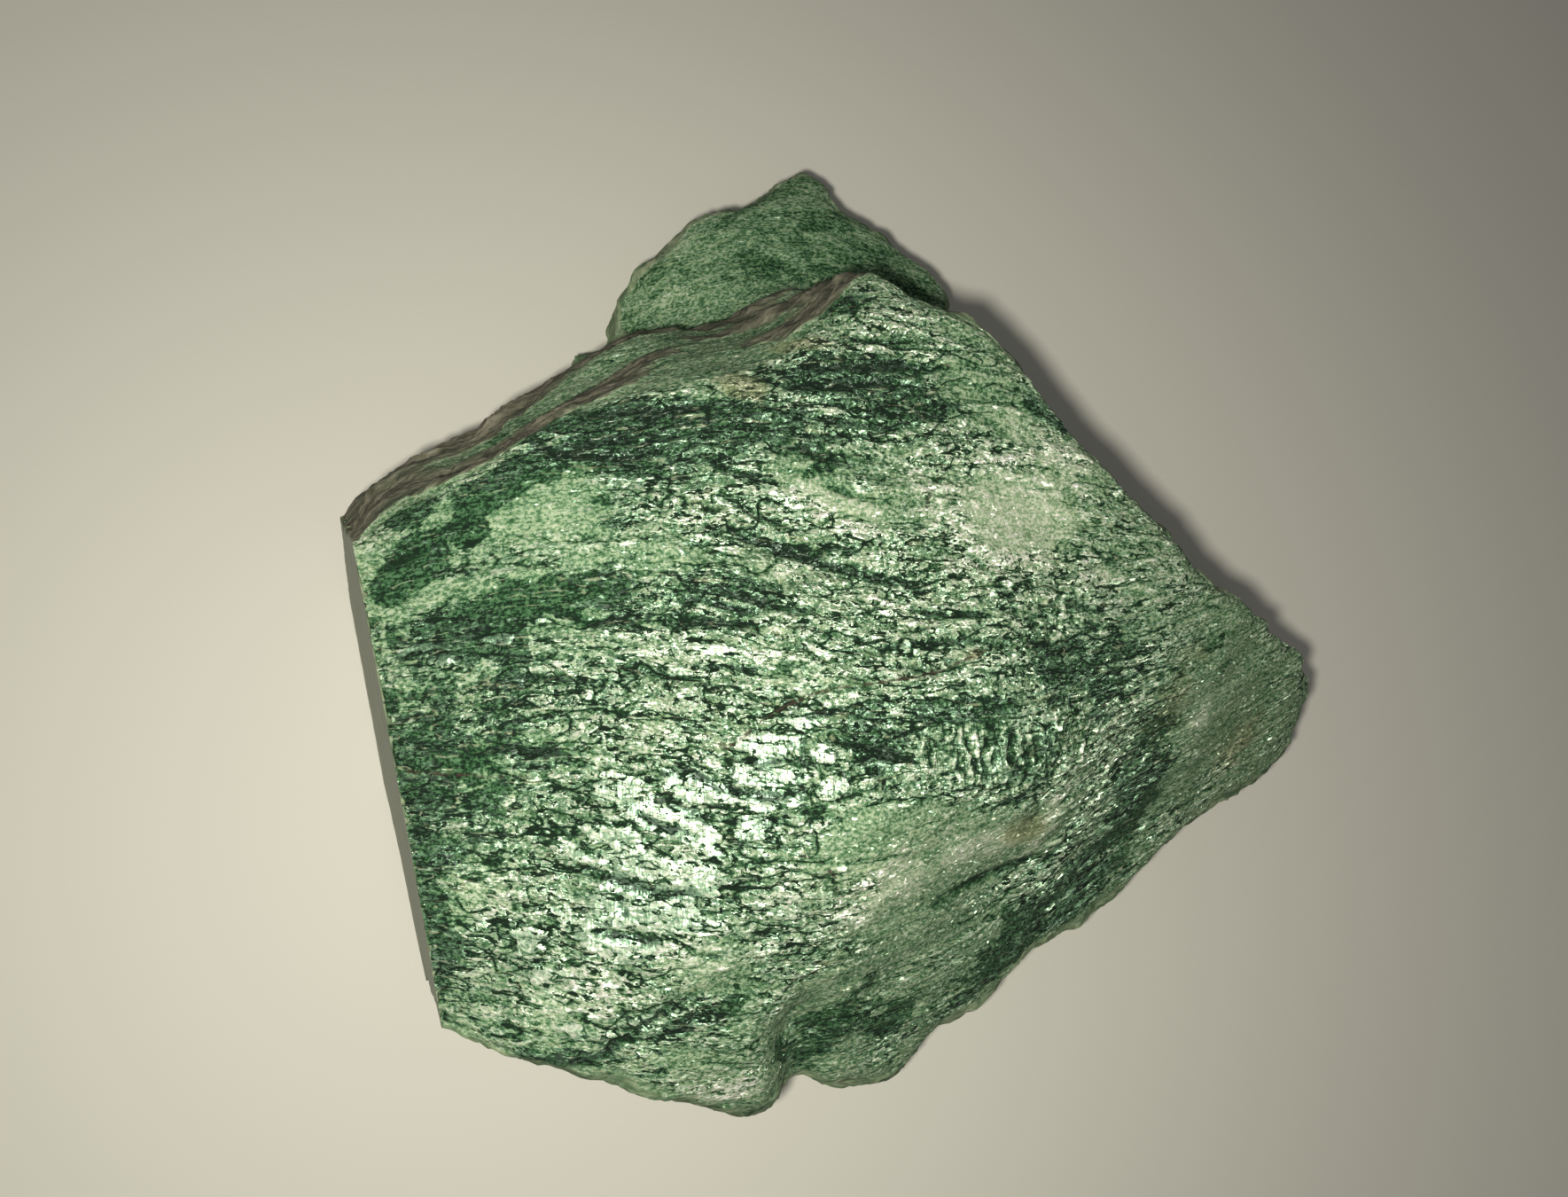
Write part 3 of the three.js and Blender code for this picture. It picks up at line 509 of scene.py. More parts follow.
# %% Folds: depth, width and line
FOLDS = [
    (0.45, 0.5, [(-26, -18.6), (-23.9, -18.7), (-22.1, -19.6), (-20, -20.4), (-17.7, -20.8),
        (-15.7, -20.4)]),
    (0.35, 0.4, [(-21.4, -17.9), (-19.1, -18.1), (-16.3, -18)]),
    (0.4, 0.5, [(-26.2, -20.5), (-24.7, -21.3), (-22.7, -22.1), (-20.7, -22.3), (-18.5, -22.6),
        (-16, -22.3)]),
    (0.35, 0.4, [(-28.1, -20.9), (-27.2, -22), (-25.4, -23), (-23.2, -23.6)]),
    (0.45, 0.5, [(-31, -26.1), (-29, -26.6), (-27.1, -27.5), (-24.7, -27.7), (-23.1, -27.6)]),
    (0.3, 0.35, [(-28.8, -27.7), (-28.6, -28.9), (-28.1, -29.3)]),
    (0.45, 0.5, [(-30.5, -30.4), (-28.5, -30.8), (-27, -31.3), (-25.8, -31.3)]),
    (0.3, 0.35, [(-20.2, -26.9), (-20.2, -29.2)]),
    (0.3, 0.35, [(-15.3, -15.9), (-15.5, -18), (-15.7, -20.3), (-15.4, -21.5)]),
    (0.3, 0.4, [(-18.5, -30.9), (-15.8, -31.3)]),
    (0.35, 0.4, [(-24.5, -31.8), (-22.4, -32.5), (-20.7, -32.7)]),
    (0.5, 0.7, [(-31.3, -40.4), (-30.3, -40.2), (-29.1, -39.9), (-28.5, -39.2), (-27.1, -38.2),
        (-25.3, -36.9), (-22.7, -35.7)]),
    (0.45, 0.6, [(-36, 6.9), (-34, 6.1), (-30.9, 5.8), (-28.3, 6), (-25.7, 6.4)]),
    (0.35, 0.5, [(-31.9, 9.5), (-28.5, 9.7), (-24.5, 9.9), (-21.1, 10.2)]),
    (0.35, 0.5, [(-33.7, 6.9), (-31.1, 7), (-29, 7.5), (-27.4, 7.9)]),
    (0.4, 0.5, [(-21.7, 5.8), (-19.8, 4.8), (-17.7, 4.3)]),
    (0.6, 0.7, [(-22.1, 0.4), (-19.2, -0.2), (-16.6, -1), (-13.6, -1.9), (-11.1, -2.9), (-8.8, -3.5),
        (-6.6, -3.9), (-4.8, -4.7)]),
    (0.45, 0.5, [(-24.8, -7.2), (-22.3, -7.3), (-19.1, -7.6)]),
    (0.4, 0.5, [(-25.6, -5.1), (-23.3, -5.6), (-20.1, -6.3), (-18.4, -6.7)]),
    (0.4, 0.5, [(-22.9, -10.9), (-19.8, -10.9), (-16.5, -11.3)]),
    (0.3, 0.5, [(-33.9, -6.4), (-30.9, -7.5), (-28.4, -6.9)]),
    (0.45, 0.5, [(-14.9, 14.2), (-9.9, 14.8), (-5, 15.4), (-0.7, 15.5)]),
    (0.45, 0.5, [(-16.1, 12.5), (-12.1, 12.9), (-7.5, 13.7), (-5.1, 14.2)]),
    (0.4, 0.5, [(-14.8, 10.6), (-11.5, 10), (-7.9, 9.7), (-5.7, 9.5)]),
    (0.4, 0.5, [(-14, 8.4), (-10.4, 8.7), (-7.6, 9)]),
    (0.4, 0.5, [(-12.7, 4.2), (-10.1, 3.4), (-8.2, 2.8)]),
    (0.4, 0.5, [(-21.5, 3.2), (-18.5, 1.5), (-16, 0.6)]),
    (0.4, 0.5, [(-6.1, -6.1), (-3.1, -6.5), (1.6, -6.4)]),
    (0.4, 0.5, [(-22.4, -4.8), (-18.4, -5.8), (-14.5, -6.7)]),
    (0.4, 0.5, [(-12.7, -17.1), (-10.2, -17.1), (-8.3, -17.6), (-7.1, -18.4)]),
    (0.35, 0.45, [(-14.9, -14.9), (-13.4, -14.4), (-11, -14), (-8.5, -13.8)]),
    (0.4, 0.6, [(11.7, -27.7), (13.5, -26.3), (14.4, -24.7), (15.2, -23.6)]),
    (0.45, 0.7, [(-0.9, -29.9), (2.4, -28.7), (7, -27.5), (11.1, -26.5)]),
    (0.35, 0.5, [(-46.5, -2.8), (-45.2, -2.3), (-43.3, -1.6), (-42, -1)]),
    (0.35, 0.5, [(-29, -10.3), (-26.4, -11.4), (-23.1, -11.7)]),
    (0.35, 0.5, [(-38, -11.9), (-34.2, -11.6), (-31, -12)]),
    (0.35, 0.5, [(-40.4, -17), (-36.6, -16.8), (-32.2, -17.2)]),
    (0.3, 0.45, [(-8.4, -9.4), (-3.9, -8.7), (1.7, -8.8), (7.4, -9.2)]),
    (0.35, 0.5, [(-0.9, -1.1), (2.3, -3.5), (3.8, -6.1)]),
    (0.3, 0.4, [(-9.3, 17.5), (-6.1, 17.4), (-2.2, 18)]),
]
print(len(FOLDS), "folds, up to", max(depth for depth, width, line in FOLDS), "mm deep")

# %% Cracks
CRACKS = [
    [(-21.3, -17.2), (-20, -16.4), (-18.4, -15), (-16.5, -13.9), (-14.7, -13.1), (-12.9, -12.6),
        (-10.4, -12.3), (-7, -11.8), (-4, -11.2), (-1.5, -10.2), (0.3, -9.5)],
    [(-15.5, -25.2), (-14.1, -25.7), (-12.4, -27), (-11.8, -28.4)],
    [(-1.2, 8.7), (-2.2, 5.9), (-3.6, 3.4), (-4.6, 1)],
    [(-44.4, -18.2), (-40.4, -18.6), (-35.3, -18.9)],
]
print(len(CRACKS), "cracks")

# %% Measure the folds and cracks at each point
TROUGH_SHARE = 0.7
CRACK_REACH = 4


def line_distance(line):
    """how far each point is from the line, and how far along it, from 0 to 1"""
    nearest = np.full(len(x), 99.0)
    reach = np.zeros(len(x))
    pieces = list(zip(line, line[1:]))
    for number, ((ax, ay), (bx, by)) in enumerate(pieces):
        ex, ey = bx - ax, by - ay
        t = np.clip(((x - ax) * ex + (y - ay) * ey) / (ex * ex + ey * ey), 0, 1)
        distance = np.hypot(x - ax - ex * t, y - ay - ey * t)
        closer = distance < nearest
        nearest = np.where(closer, distance, nearest)
        reach = np.where(closer, (number + t) / len(pieces), reach)
    return nearest, reach


trough = np.zeros(len(x))
for depth, width, line in FOLDS:
    distance, reach = line_distance(line)
    ends = np.clip(4 * reach * (1 - reach), 0, 1) ** 0.5
    profile = np.exp(-((distance / (TROUGH_SHARE * width)) ** 2))
    trough = np.maximum(trough, depth * (0.25 + 0.75 * ends) * profile)
crack = np.min([line_distance(line)[0] for line in CRACKS], axis=0)
store(skin, "trough", trough * face)
store(skin, "crack", np.clip(crack, 0, CRACK_REACH))
print("the deepest fold reaches", round(float(trough.max()), 2), "mm")

# %% Mark the sawn points
SAWN_WITHIN = 0.02

sawn_distance = (points_of(skin) - np.array(SAWN_POINT)) @ np.array(SAWN_NORMAL) / MM
store(skin, "sawn", (abs(sawn_distance) < SAWN_WITHIN).astype(float))
print(int((abs(sawn_distance) < SAWN_WITHIN).sum()), "points are sawn")

# %% [markdown]
# ## Helpers for node trees
#
# The relief is a Geometry Nodes tree and the finishes are shader trees. Both are mostly sums and products,
# and a tree that is built one Math node at a time is hard to read. So the output of a node is wrapped in a
# small class: adding or multiplying two of them adds the Math node, and the script reads like the formula.

# %% A value in a tree
class Value:
    """what a node puts out; a sum, difference, product or quotient of it adds a Math node to its tree"""

    def __init__(self, tree, socket):
        self.tree = tree
        self.socket = socket

    def __add__(self, other):
        return maths("ADD", self, other)

    def __sub__(self, other):
        return maths("SUBTRACT", self, other)

    def __rsub__(self, other):
        return maths("SUBTRACT", other, self)

    def __mul__(self, other):
        return maths("MULTIPLY", self, other)

    def __truediv__(self, other):
        return maths("DIVIDE", self, other)

    def __abs__(self):
        return maths("ABSOLUTE", self)

    __radd__ = __add__
    __rmul__ = __mul__


def fill(socket, value):
    """set a socket from a number, or link a value to it"""
    if isinstance(value, Value):
        value.tree.links.new(value.socket, socket)
    else:
        socket.default_value = value


def node(tree, kind, inputs=(), output=0, **settings):
    made = tree.nodes.new(kind)
    for key, value in settings.items():
        setattr(made, key, value)
    pairs = inputs.items() if isinstance(inputs, dict) else enumerate(inputs)
    for key, value in pairs:
        fill(made.inputs[key], value)
    return Value(tree, made.outputs[output])


def tree_of(values):
    return next(value.tree for value in values if isinstance(value, Value))


def maths(operation, *values):
    return node(tree_of(values), "ShaderNodeMath", values, operation=operation)


def larger(first, second):
    return maths("MAXIMUM", first, second)


def vectors(operation, *values):
    inputs = {0: values[0], "Scale": values[1]} if operation == "SCALE" else values
    output = "Value" if operation == "DOT_PRODUCT" else "Vector"
    return node(tree_of(values), "ShaderNodeVectorMath", inputs, output, operation=operation)


print("+, -, *, / and abs() now add Math nodes")

# %% Ramps and noise
def ramp(value, low, high, to_low=0.0, to_high=1.0):
    """value from low to high becomes to_low to to_high, with soft ends"""
    inputs = {"Value": value, "From Min": low, "From Max": high, "To Min": to_low, "To Max": to_high}
    return node(value.tree, "ShaderNodeMapRange", inputs, interpolation_type="SMOOTHSTEP")


def noise(place, detail=2.0, roughness=0.5, output="Fac"):
    inputs = {"Vector": place, "Scale": 1.0, "Detail": detail, "Roughness": roughness}
    return node(place.tree, "ShaderNodeTexNoise", inputs, output)


def sized_noise(place, sizes, detail=2.0, roughness=0.5):
    """noise with lumps of these sizes"""
    return noise(vectors("DIVIDE", place, sizes), detail, roughness)


def moved(place, sizes, offset):
    """the place measured in these sizes, and moved so that two patterns don't repeat each other"""
    return vectors("ADD", vectors("DIVIDE", place, sizes), offset)


def bumps(place, sizes, offset, detail=2.0):
    """noise from about -1 to 1"""
    return noise(moved(place, sizes, offset), detail) * 2.0 - 1.0


def ridges(place, sizes, offset, detail=1.0):
    """0 in a sharp valley, about 1 on the crests between"""
    return abs(bumps(place, sizes, offset, detail)) * 2.2


print("noise helpers:", [helper.__name__ for helper in (noise, sized_noise, bumps, ridges)])

# %% [markdown]
# ## Relief
#
# A crumpled mica sheet is a surface that follows a rule. It is a pile of thin scales that overlap like
# roof tiles, so across the grain it rises slowly and then drops at the free edge of a scale. Between them
# run round ridges with sharp valleys. Noise bends the edges and makes them end. Where the rock was squeezed
# twice, upright ribs cross the grain, and in the bright middle the sheet has torn into flat plates.
#
# The same rule is needed twice: as real relief, and in the finish to paint shade into the gaps under the
# edges. So it is a function that adds its nodes to whichever tree its values come from.

# %% Overlapping scales and round ridges
def scales(across, spacing, bend, edge, gap):
    """heights from 0 to 1 of scales that overlap every `spacing` mm, and the gaps under their edges"""
    phase = across / spacing + bend
    climb = maths("FRACT", phase)
    height = ramp(climb, 0.0, edge) * (1.0 - climb)
    from_edge = maths("PINGPONG", phase + 0.08, 0.5)
    return height, ramp(from_edge, 0.0, gap, 1.0, 0.0)


def crenulations(across, spacing, bend, gap):
    """heights from 0 to 1 of round ridges every `spacing` mm, and the sharp valleys between them"""
    height = abs(maths("SINE", (across / spacing + bend) * math.pi))
    return height, ramp(height, 0.0, gap, 1.0, 0.0)


SCALE_SPACING, RIDGE_SPACING, RIB_SPACING = 2.7, 1.4, 1.8
print("scales every", SCALE_SPACING, "mm, ridges every", RIDGE_SPACING, "mm, ribs every", RIB_SPACING, "mm")

# %% The rule for a crumpled sheet
def crumple(grain, crinkled, plated, crossed):
    """relief in mm, then masks of the gaps, of the flat plates and of the tops of ridges"""
    along = node(grain.tree, "ShaderNodeSeparateXYZ", (grain,), "X")
    across = node(grain.tree, "ShaderNodeSeparateXYZ", (grain,), "Y")
    scale_ends = ramp(bumps(grain, (6.0, 2.4, 5.0), (11.0, 3.0, 0)), -0.25, 0.2)
    ridge_ends = ramp(bumps(grain, (4.5, 1.3, 4.0), (2.0, 23.0, 0)), -0.2, 0.15)
    rib_ends = ramp(bumps(grain, (1.7, 3.4, 3.0), (7.0, 43.0, 0)), -0.35, 0.05)

    torn = bumps(grain, (1.9, 0.62, 1.5), (5.0, 55.0, 0), 4.0) * 0.8 + plated
    plate = ramp(torn, 0.44, 0.54) * ramp(plated, 0.08, 0.2)
    rim = ramp(abs(torn - 0.38), 0.03, 0.09, 1.0, 0.0) * (ramp(plated, 0.10, 0.25) * scale_ends)
    loose = crinkled * (crossed * -0.9 + 1.0) * (plate * -0.92 + 1.0)

    bend = bumps(grain, (6.5, 3.0, 5.0), (3.0, 9.0, 0)) * 1.5
    scale_height, scale_gap = scales(across, SCALE_SPACING, bend, 0.10, 0.06)
    scaly = loose * 0.5 * scale_ends
    bend = bumps(grain, (7.0, 2.2, 3.0), (31.0, 5.0, 0)) * 1.7
    ridge_height, ridge_gap = crenulations(across, RIDGE_SPACING, bend, 0.24)
    ridged = loose * ridge_ends
    bend = bumps(grain, (2.4, 2.8, 3.0), (13.0, 15.0, 0)) * 2.0
    rib_height, rib_gap = crenulations(along, RIB_SPACING, bend, 0.34)
    ribbed = crossed * rib_ends

    height = scale_height * scaly * 0.46
    height = ridge_height * ridged * 0.33 + height
    height = rib_height * ribbed * 0.55 + height
    height = plate * 0.34 + height
    gaps = ridge_gap * ramp(ridged, 0.15, 0.55)
    gaps = larger(gaps, scale_gap * ramp(scaly, 0.08, 0.3))
    gaps = larger(gaps, rib_gap * ribbed)
    gaps = larger(gaps, rim * 0.7)
    ridge_tops = ramp(ridge_height, 0.72, 0.84) * ramp(ridged, 0.25, 0.5)
    rib_tops = ramp(rib_height, 0.76, 0.86) * ramp(ribbed, 0.25, 0.5)
    return height - 0.3, gaps, plate, larger(ridge_tops, rib_tops)


print("crumple gives", crumple.__doc__)

# %% Relief tree: its inputs
HEIGHTS = {"Swell height": 0.34, "Scale height": 1.0, "Ledge height": 0.95, "Grit height": 0.10}
INPUTS = [("Geometry", "Geometry", None)]
INPUTS += [(label, "Float", height) for label, height in HEIGHTS.items()]
INPUTS += [("Box low", "Vector", cad_box[0]), ("Box high", "Vector", cad_box[1])]
INPUTS += [("Schist", "Material", None), ("Sawn schist", "Material", None)]


def add_sockets(tree, inputs, outputs):
    """give a tree its named sockets; return its inputs as values and its output sockets"""
    for label, kind, default in inputs:
        socket = tree.interface.new_socket(label, in_out="INPUT", socket_type="NodeSocket" + kind)
        if default is not None:
            socket.default_value = default
    for label, kind in outputs:
        tree.interface.new_socket(label, in_out="OUTPUT", socket_type="NodeSocket" + kind)
    sockets = tree.nodes.new("NodeGroupInput").outputs
    given = {label: Value(tree, sockets[label]) for label, kind, default in inputs}
    return given, tree.nodes.new("NodeGroupOutput").inputs


relief = bpy.data.node_groups.new("Schist relief", "GeometryNodeTree")
relief.is_modifier = True
given, out = add_sockets(relief, INPUTS, [("Geometry", "Geometry")])
print("relief inputs:", list(given))

# %% Relief tree: heights in millimetres
def stored(name, kind="FLOAT"):
    return node(relief, "GeometryNodeInputNamedAttribute", {"Name": name}, data_type=kind)


grain = stored("grain", "FLOAT_VECTOR")
position = node(relief, "GeometryNodeInputPosition")
place = vectors("SCALE", position, 1 / MM)
on_face = stored("face")
crinkled = stored("crinkled")
crumpled, gaps, plate, tops = crumple(grain, crinkled, stored("plated"), stored("crossed"))
swell = bumps(grain, (15.0, 5.0, 9.0), (1.0, 2.0, 3.0))
wrinkle = (ridges(grain, (4.0, 1.15, 3.0), (9.0, 31.0, 0)) - 0.6) * (crinkled * 0.22)
wrinkle = wrinkle * (plate * -0.9 + 1.0)
ledges = bumps(place, (9.0, 9.0, 1.1), (5.0, 0, 0), 3.0)
chips = ridges(place, (5.0, 5.0, 3.2), (0, 9.0, 0), 2.0)
grit = bumps(place, (0.9, 0.9, 0.6), (0, 0, 4.0), 2.0)
fold_ends = ramp(bumps(grain, (2.2, 1.2, 2.0), (17.0, 3.0, 0)), -0.35, 0.25, 0.45, 1.0)
trough_depth = stored("trough") * fold_ends
print("relief heights built:", len(relief.nodes), "nodes")

# %% Relief tree: add the heights up
rough = 1.0 - larger(stored("underside"), stored("sawn"))
on_wall = (1.0 - on_face) * rough

face_height = crumpled * given["Scale height"] + wrinkle
face_height = swell * given["Swell height"] + face_height
face_height = face_height - trough_depth
wall_height = (chips - 0.6) * 0.5 + ledges * given["Ledge height"]
height = face_height * (on_face * rough)
height = wall_height * on_wall + height
height = grit * rough * given["Grit height"] + height

# The crease value is painted shade: the finish darkens the low ledges of the walls and the folds of the face
# by it
wall_crease_shade = ramp(ledges, -0.5, 0.1, 1.0, 0.0) * on_wall
fold_shade = trough_depth * 2.5 * on_face
crease_shade = wall_crease_shade * 0.6 + fold_shade
print("relief is the sum of", len(HEIGHTS), "heights and the folds")

# %% Relief tree: move the points, keep them in the box, set the finishes
kept = {"Geometry": given["Geometry"], "Name": "crease", "Value": crease_shade}
geometry = node(relief, "GeometryNodeStoreNamedAttribute", kept, data_type="FLOAT", domain="POINT")
offset = vectors("SCALE", node(relief, "GeometryNodeInputNormal"), height * MM)
raised = vectors("MAXIMUM", vectors("ADD", position, offset), given["Box low"])
raised = vectors("MINIMUM", raised, given["Box high"])
geometry = node(relief, "GeometryNodeSetPosition", {"Geometry": geometry, "Position": raised})
geometry = node(relief, "GeometryNodeRealizeInstances", {"Geometry": geometry})
geometry = node(relief, "GeometryNodeSetMaterial", {"Geometry": geometry, "Material": given["Schist"]})
compared = {0: stored("sawn"), 1: 0.95}
sawn_part = node(relief, "FunctionNodeCompare", compared, operation="GREATER_THAN", data_type="FLOAT")
sawn_finish = {"Geometry": geometry, "Selection": sawn_part, "Material": given["Sawn schist"]}
geometry = node(relief, "GeometryNodeSetMaterial", sawn_finish)
fill(out["Geometry"], geometry)
print("relief tree:", len(relief.nodes), "nodes")

# %% [markdown]
# ## Effects of the finishes
#
# An effect that is used again is built once, as a node group with named inputs. *Mottle*, which both
# finishes use, is noise at three sizes, stretched along whatever coordinates it is given. *Fibres* are thin
# lines that run with the grain. *Crumple* is the sheet's rule from above. *Crests* are the thin, worm-like
# edges of mica that stand up along the grain, each with a gap beside it that the finish darkens as painted
# shade. *Flakes* give each small cell its own lean and decide whether it is a mirror, which is what makes
# mica glitter. All sizes are in mm: along the grain, across it, and upwards.

# %% Groups: Mottle and Fibres
def shader_group(name, inputs, outputs):
    group = bpy.data.node_groups.new(name, "ShaderNodeTree")
    return group, *add_sockets(group, [("Place", "Vector", None)] + inputs, outputs)


OCTAVES = ((0.55, 1.0, 2.0), (0.9, 0.3, 2.0), (1.1, 0.11, 3.0))

inputs = [("Size", "Vector", (12, 4, 6)), ("Contrast", "Float", 1.0)]
mottle, given, out = shader_group("Mottle", inputs, [("Value", "Float")])
total = 0.0
for share, shrink, detail in OCTAVES:
    size = vectors("SCALE", given["Size"], shrink)
    total = (sized_noise(given["Place"], size, detail, 0.55) - 0.5) * share + total
fill(out["Value"], total * given["Contrast"])

inputs = [("Size", "Vector", (12, 1.2, 3)), ("Thinness", "Float", 0.08)]
fibres, given, out = shader_group("Fibres", inputs, [("Mask", "Float")])
away = abs(sized_noise(given["Place"], given["Size"]) * 2.0 - 1.0)
to_mask = {"Value": away, "From Min": 0.0, "From Max": given["Thinness"], "To Min": 1.0, "To Max": 0.0}
fill(out["Mask"], node(fibres, "ShaderNodeMapRange", to_mask))
print("Mottle and Fibres have", len(mottle.nodes), "and", len(fibres.nodes), "nodes")

# %% Groups: Crumple and Crests
inputs = [("Crinkled", "Float", 1.0), ("Plated", "Float", 0.0), ("Crossed", "Float", 0.0)]
results = ("Height", "Gap", "Plate", "Top")
sheet, given, out = shader_group("Crumple", inputs, [(label, "Float") for label in results])
for label, result in zip(results, crumple(*given.values())):
    fill(out[label], result)

SOFT_EDGE = 0.035
inputs = [("Size", "Vector", (1.6, 0.6, 1.2)), ("Width", "Float", 0.13)]
results = [(label, "Float") for label in ("Crest", "Gap", "Height")]
crests, given, out = shader_group("Crests", inputs, results)
wave = sized_noise(given["Place"], given["Size"]) * 2.0 - 1.0
crest_ends = sized_noise(given["Place"], vectors("SCALE", given["Size"], 1.3))
width = given["Width"] * ramp(crest_ends, 0.38, 0.60)
from_crest = abs(wave)
from_gap = abs(given["Width"] * 1.55 + wave)
gap = ramp(width * 0.8 - from_gap, 0.0, SOFT_EDGE)
fill(out["Crest"], ramp(width - from_crest, 0.0, SOFT_EDGE))
fill(out["Gap"], gap)
fill(out["Height"], ramp(from_crest, 0.0, 0.25, 1.0, 0.0) - gap)
print("Crumple and Crests have", len(sheet.nodes), "and", len(crests.nodes), "nodes")

# %% Group: Flakes
inputs = [
    ("Size", "Vector", (0.6, 0.3, 0.5)),
    ("Share", "Float", 0.5),
    ("Tilt", "Float", 0.8),
    ("Lie", "Vector", (0.0, 0.0, 0.0)),
    ("Normal", "Vector", None),
]
flakes, given, out = shader_group("Flakes", inputs, [("Normal", "Vector"), ("Mirror", "Float")])
cells = vectors("DIVIDE", given["Place"], given["Size"])
cells = vectors("ADD", cells, vectors("SCALE", noise(cells, output="Color"), 1.2))
random_colour = node(flakes, "ShaderNodeTexVoronoi", {"Vector": cells, "Scale": 1.0}, "Color")
draw = maths("FRACT", vectors("DOT_PRODUCT", random_colour, (5.0, 9.0, 13.0)))
mirror = ramp(given["Share"] - draw, -0.04, 0.04)
turned = vectors("SCALE", vectors("SUBTRACT", random_colour, (0.5, 0.5, 0.5)), given["Tilt"])
lying = vectors("ADD", vectors("ADD", given["Normal"], given["Lie"]), turned)
as_flake = vectors("SCALE", vectors("NORMALIZE", lying), mirror)
as_rock = vectors("SCALE", given["Normal"], 1.0 - mirror)
fill(out["Normal"], vectors("NORMALIZE", vectors("ADD", as_flake, as_rock)))
fill(out["Mirror"], mirror)
print("groups:", [group.name for group in bpy.data.node_groups if group.bl_idname == "ShaderNodeTree"])

# %% Colour helpers
def srgb(red, green, blue):
    def linear(value):
        value /= 255
        return value / 12.92 if value <= 0.04045 else ((value + 0.055) / 1.055) ** 2.4

    return (linear(red), linear(green), linear(blue), 1.0)


def colour_ramp(value, stops):
    made = value.tree.nodes.new("ShaderNodeValToRGB")
    elements = made.color_ramp.elements
    while len(elements) < len(stops):
        elements.new(0.5)
    for element, (position, *colour) in zip(elements, stops):
        element.position = position
        element.color = srgb(*colour)
    fill(made.inputs["Fac"], value)
    return Value(value.tree, made.outputs["Color"])


def mix_colour(share, first, second):
    return node(share.tree, "ShaderNodeMix", {0: share, 6: first, 7: second}, 2, data_type="RGBA")


print("mid green is", [round(part, 3) for part in srgb(112, 139, 101)[:3]], "in linear light")

# %% Material helpers
def use_group(tree, group, **inputs):
    """place a group, and give its outputs by name"""
    made = tree.nodes.new("ShaderNodeGroup")
    made.node_tree = group
    for label, value in inputs.items():
        fill(made.inputs[label], value)
    return {socket.name: Value(tree, socket) for socket in made.outputs}


def attribute(tree, name, output="Fac"):
    return node(tree, "ShaderNodeAttribute", output=output, attribute_name=name)


def bumped(height):
    return node(height.tree, "ShaderNodeBump", {"Height": height, "Distance": MM, "Strength": 1.0})


def place_in_mm(tree):
    return vectors("SCALE", node(tree, "ShaderNodeTexCoord", output="Object"), 1 / MM)


def new_material(name):
    """a material, its tree, and the sockets of its shader"""
    material = bpy.data.materials.new(name)
    material.use_nodes = True
    return material, material.node_tree, material.node_tree.nodes["Principled BSDF"].inputs


print("a height of 1 in a bump stands for", MM, "m")

# %% [markdown]
# ## The schist
#
# One finish covers everything that broke naturally. On the mica face it runs from dark green mica to pale
# feldspar, in streaks along the grain, and the gaps between the crests are painted nearly black as shade. On
# the walls it is dull and layered, and the rind is weathered to a grey brown. An image could be wrapped round
# the lump, but it would be no sharper than its pixels. Here each feature is a mask made from noise, and the
# marks that were stored on the lump decide how much of it there is. The numbers beside the masks say how much
# each one darkens or lifts the rock. The darkening in gaps, folds, creases and hollows is painted shade, and
# the lifted tops of crossing ribs are a painted highlight.

# %% Schist: what it reads from the lump
MARKS = (
    "tint", "brown", "crinkled", "plated", "crossed", "face", "rind", "crease", "crack", "hollow", "steep",
    "terrace",
)
schist, tree, shader = new_material("Fuchsite schist")
place = place_in_mm(tree)
grain = attribute(tree, "grain", "Vector")
here = SimpleNamespace(**{name: attribute(tree, name) for name in MARKS})
print("schist reads", len(MARKS), "marks and the grain")

# %% Schist: sheets, crests and their gaps
FINE_SIZE = 0.46
coarse = use_group(tree, sheet, Place=grain, Crinkled=here.crinkled, Plated=here.plated, Crossed=here.crossed)
plate = coarse["Plate"]
fine_place = moved(grain, (FINE_SIZE, FINE_SIZE, FINE_SIZE), (5.0, 3.0, 0))
fine = use_group(tree, sheet, Place=fine_place, Crinkled=here.crinkled, Plated=0.0, Crossed=here.crossed)
short_place = moved(grain, (1, 1, 1), (7.3, 4.1, 0))
long_crests = use_group(tree, crests, Place=grain, Size=(2.2, 0.48, 1.4), Width=0.14)
short_crests = use_group(tree, crests, Place=short_place, Size=(0.72, 0.34, 0.6), Width=0.16)
creased = ramp(here.crinkled + sized_noise(grain, (6.0, 2.2, 4.0)), 0.85, 1.20)
creased = creased * (here.crossed * -0.8 + 1.0)
hair_gaps = larger(long_crests["Gap"], short_crests["Gap"]) * (creased * (plate * -0.1 + 1.0))
print("sheets and crests:", len(tree.nodes), "nodes")

# %% Schist: how dark the mica face is, from 0 for pale to 1 for the darkest, with painted shade and highlight
FEWEST_SPECKS, MOST_SPECKS = 0.30, 0.33
DARKEST_PATCH = 0.80
TERRACE_TONE = 0.60

flow = use_group(tree, fibres, Place=grain, Size=(17.0, 1.1, 4.0), Thinness=0.06)["Mask"]
streaks = use_group(tree, mottle, Place=grain, Size=(10.0, 2.6, 6.0), Contrast=0.16)["Value"]
specks = ramp(sized_noise(grain, (0.36, 0.20, 0.3), 3.0, 0.7), 0.42, 0.58, -0.5, 0.5)
speckled = ramp(here.crinkled, 0.15, 0.5, FEWEST_SPECKS, MOST_SPECKS) - 0.06 * plate
frayed = (sized_noise(grain, (3.6, 2.2, 3.0), 4.0, 0.62) - 0.5) * 1.9
dark_patch = ramp(here.tint + frayed, 0.32, 0.39)
pale_patch = ramp(frayed - here.tint, 0.30, 0.50)

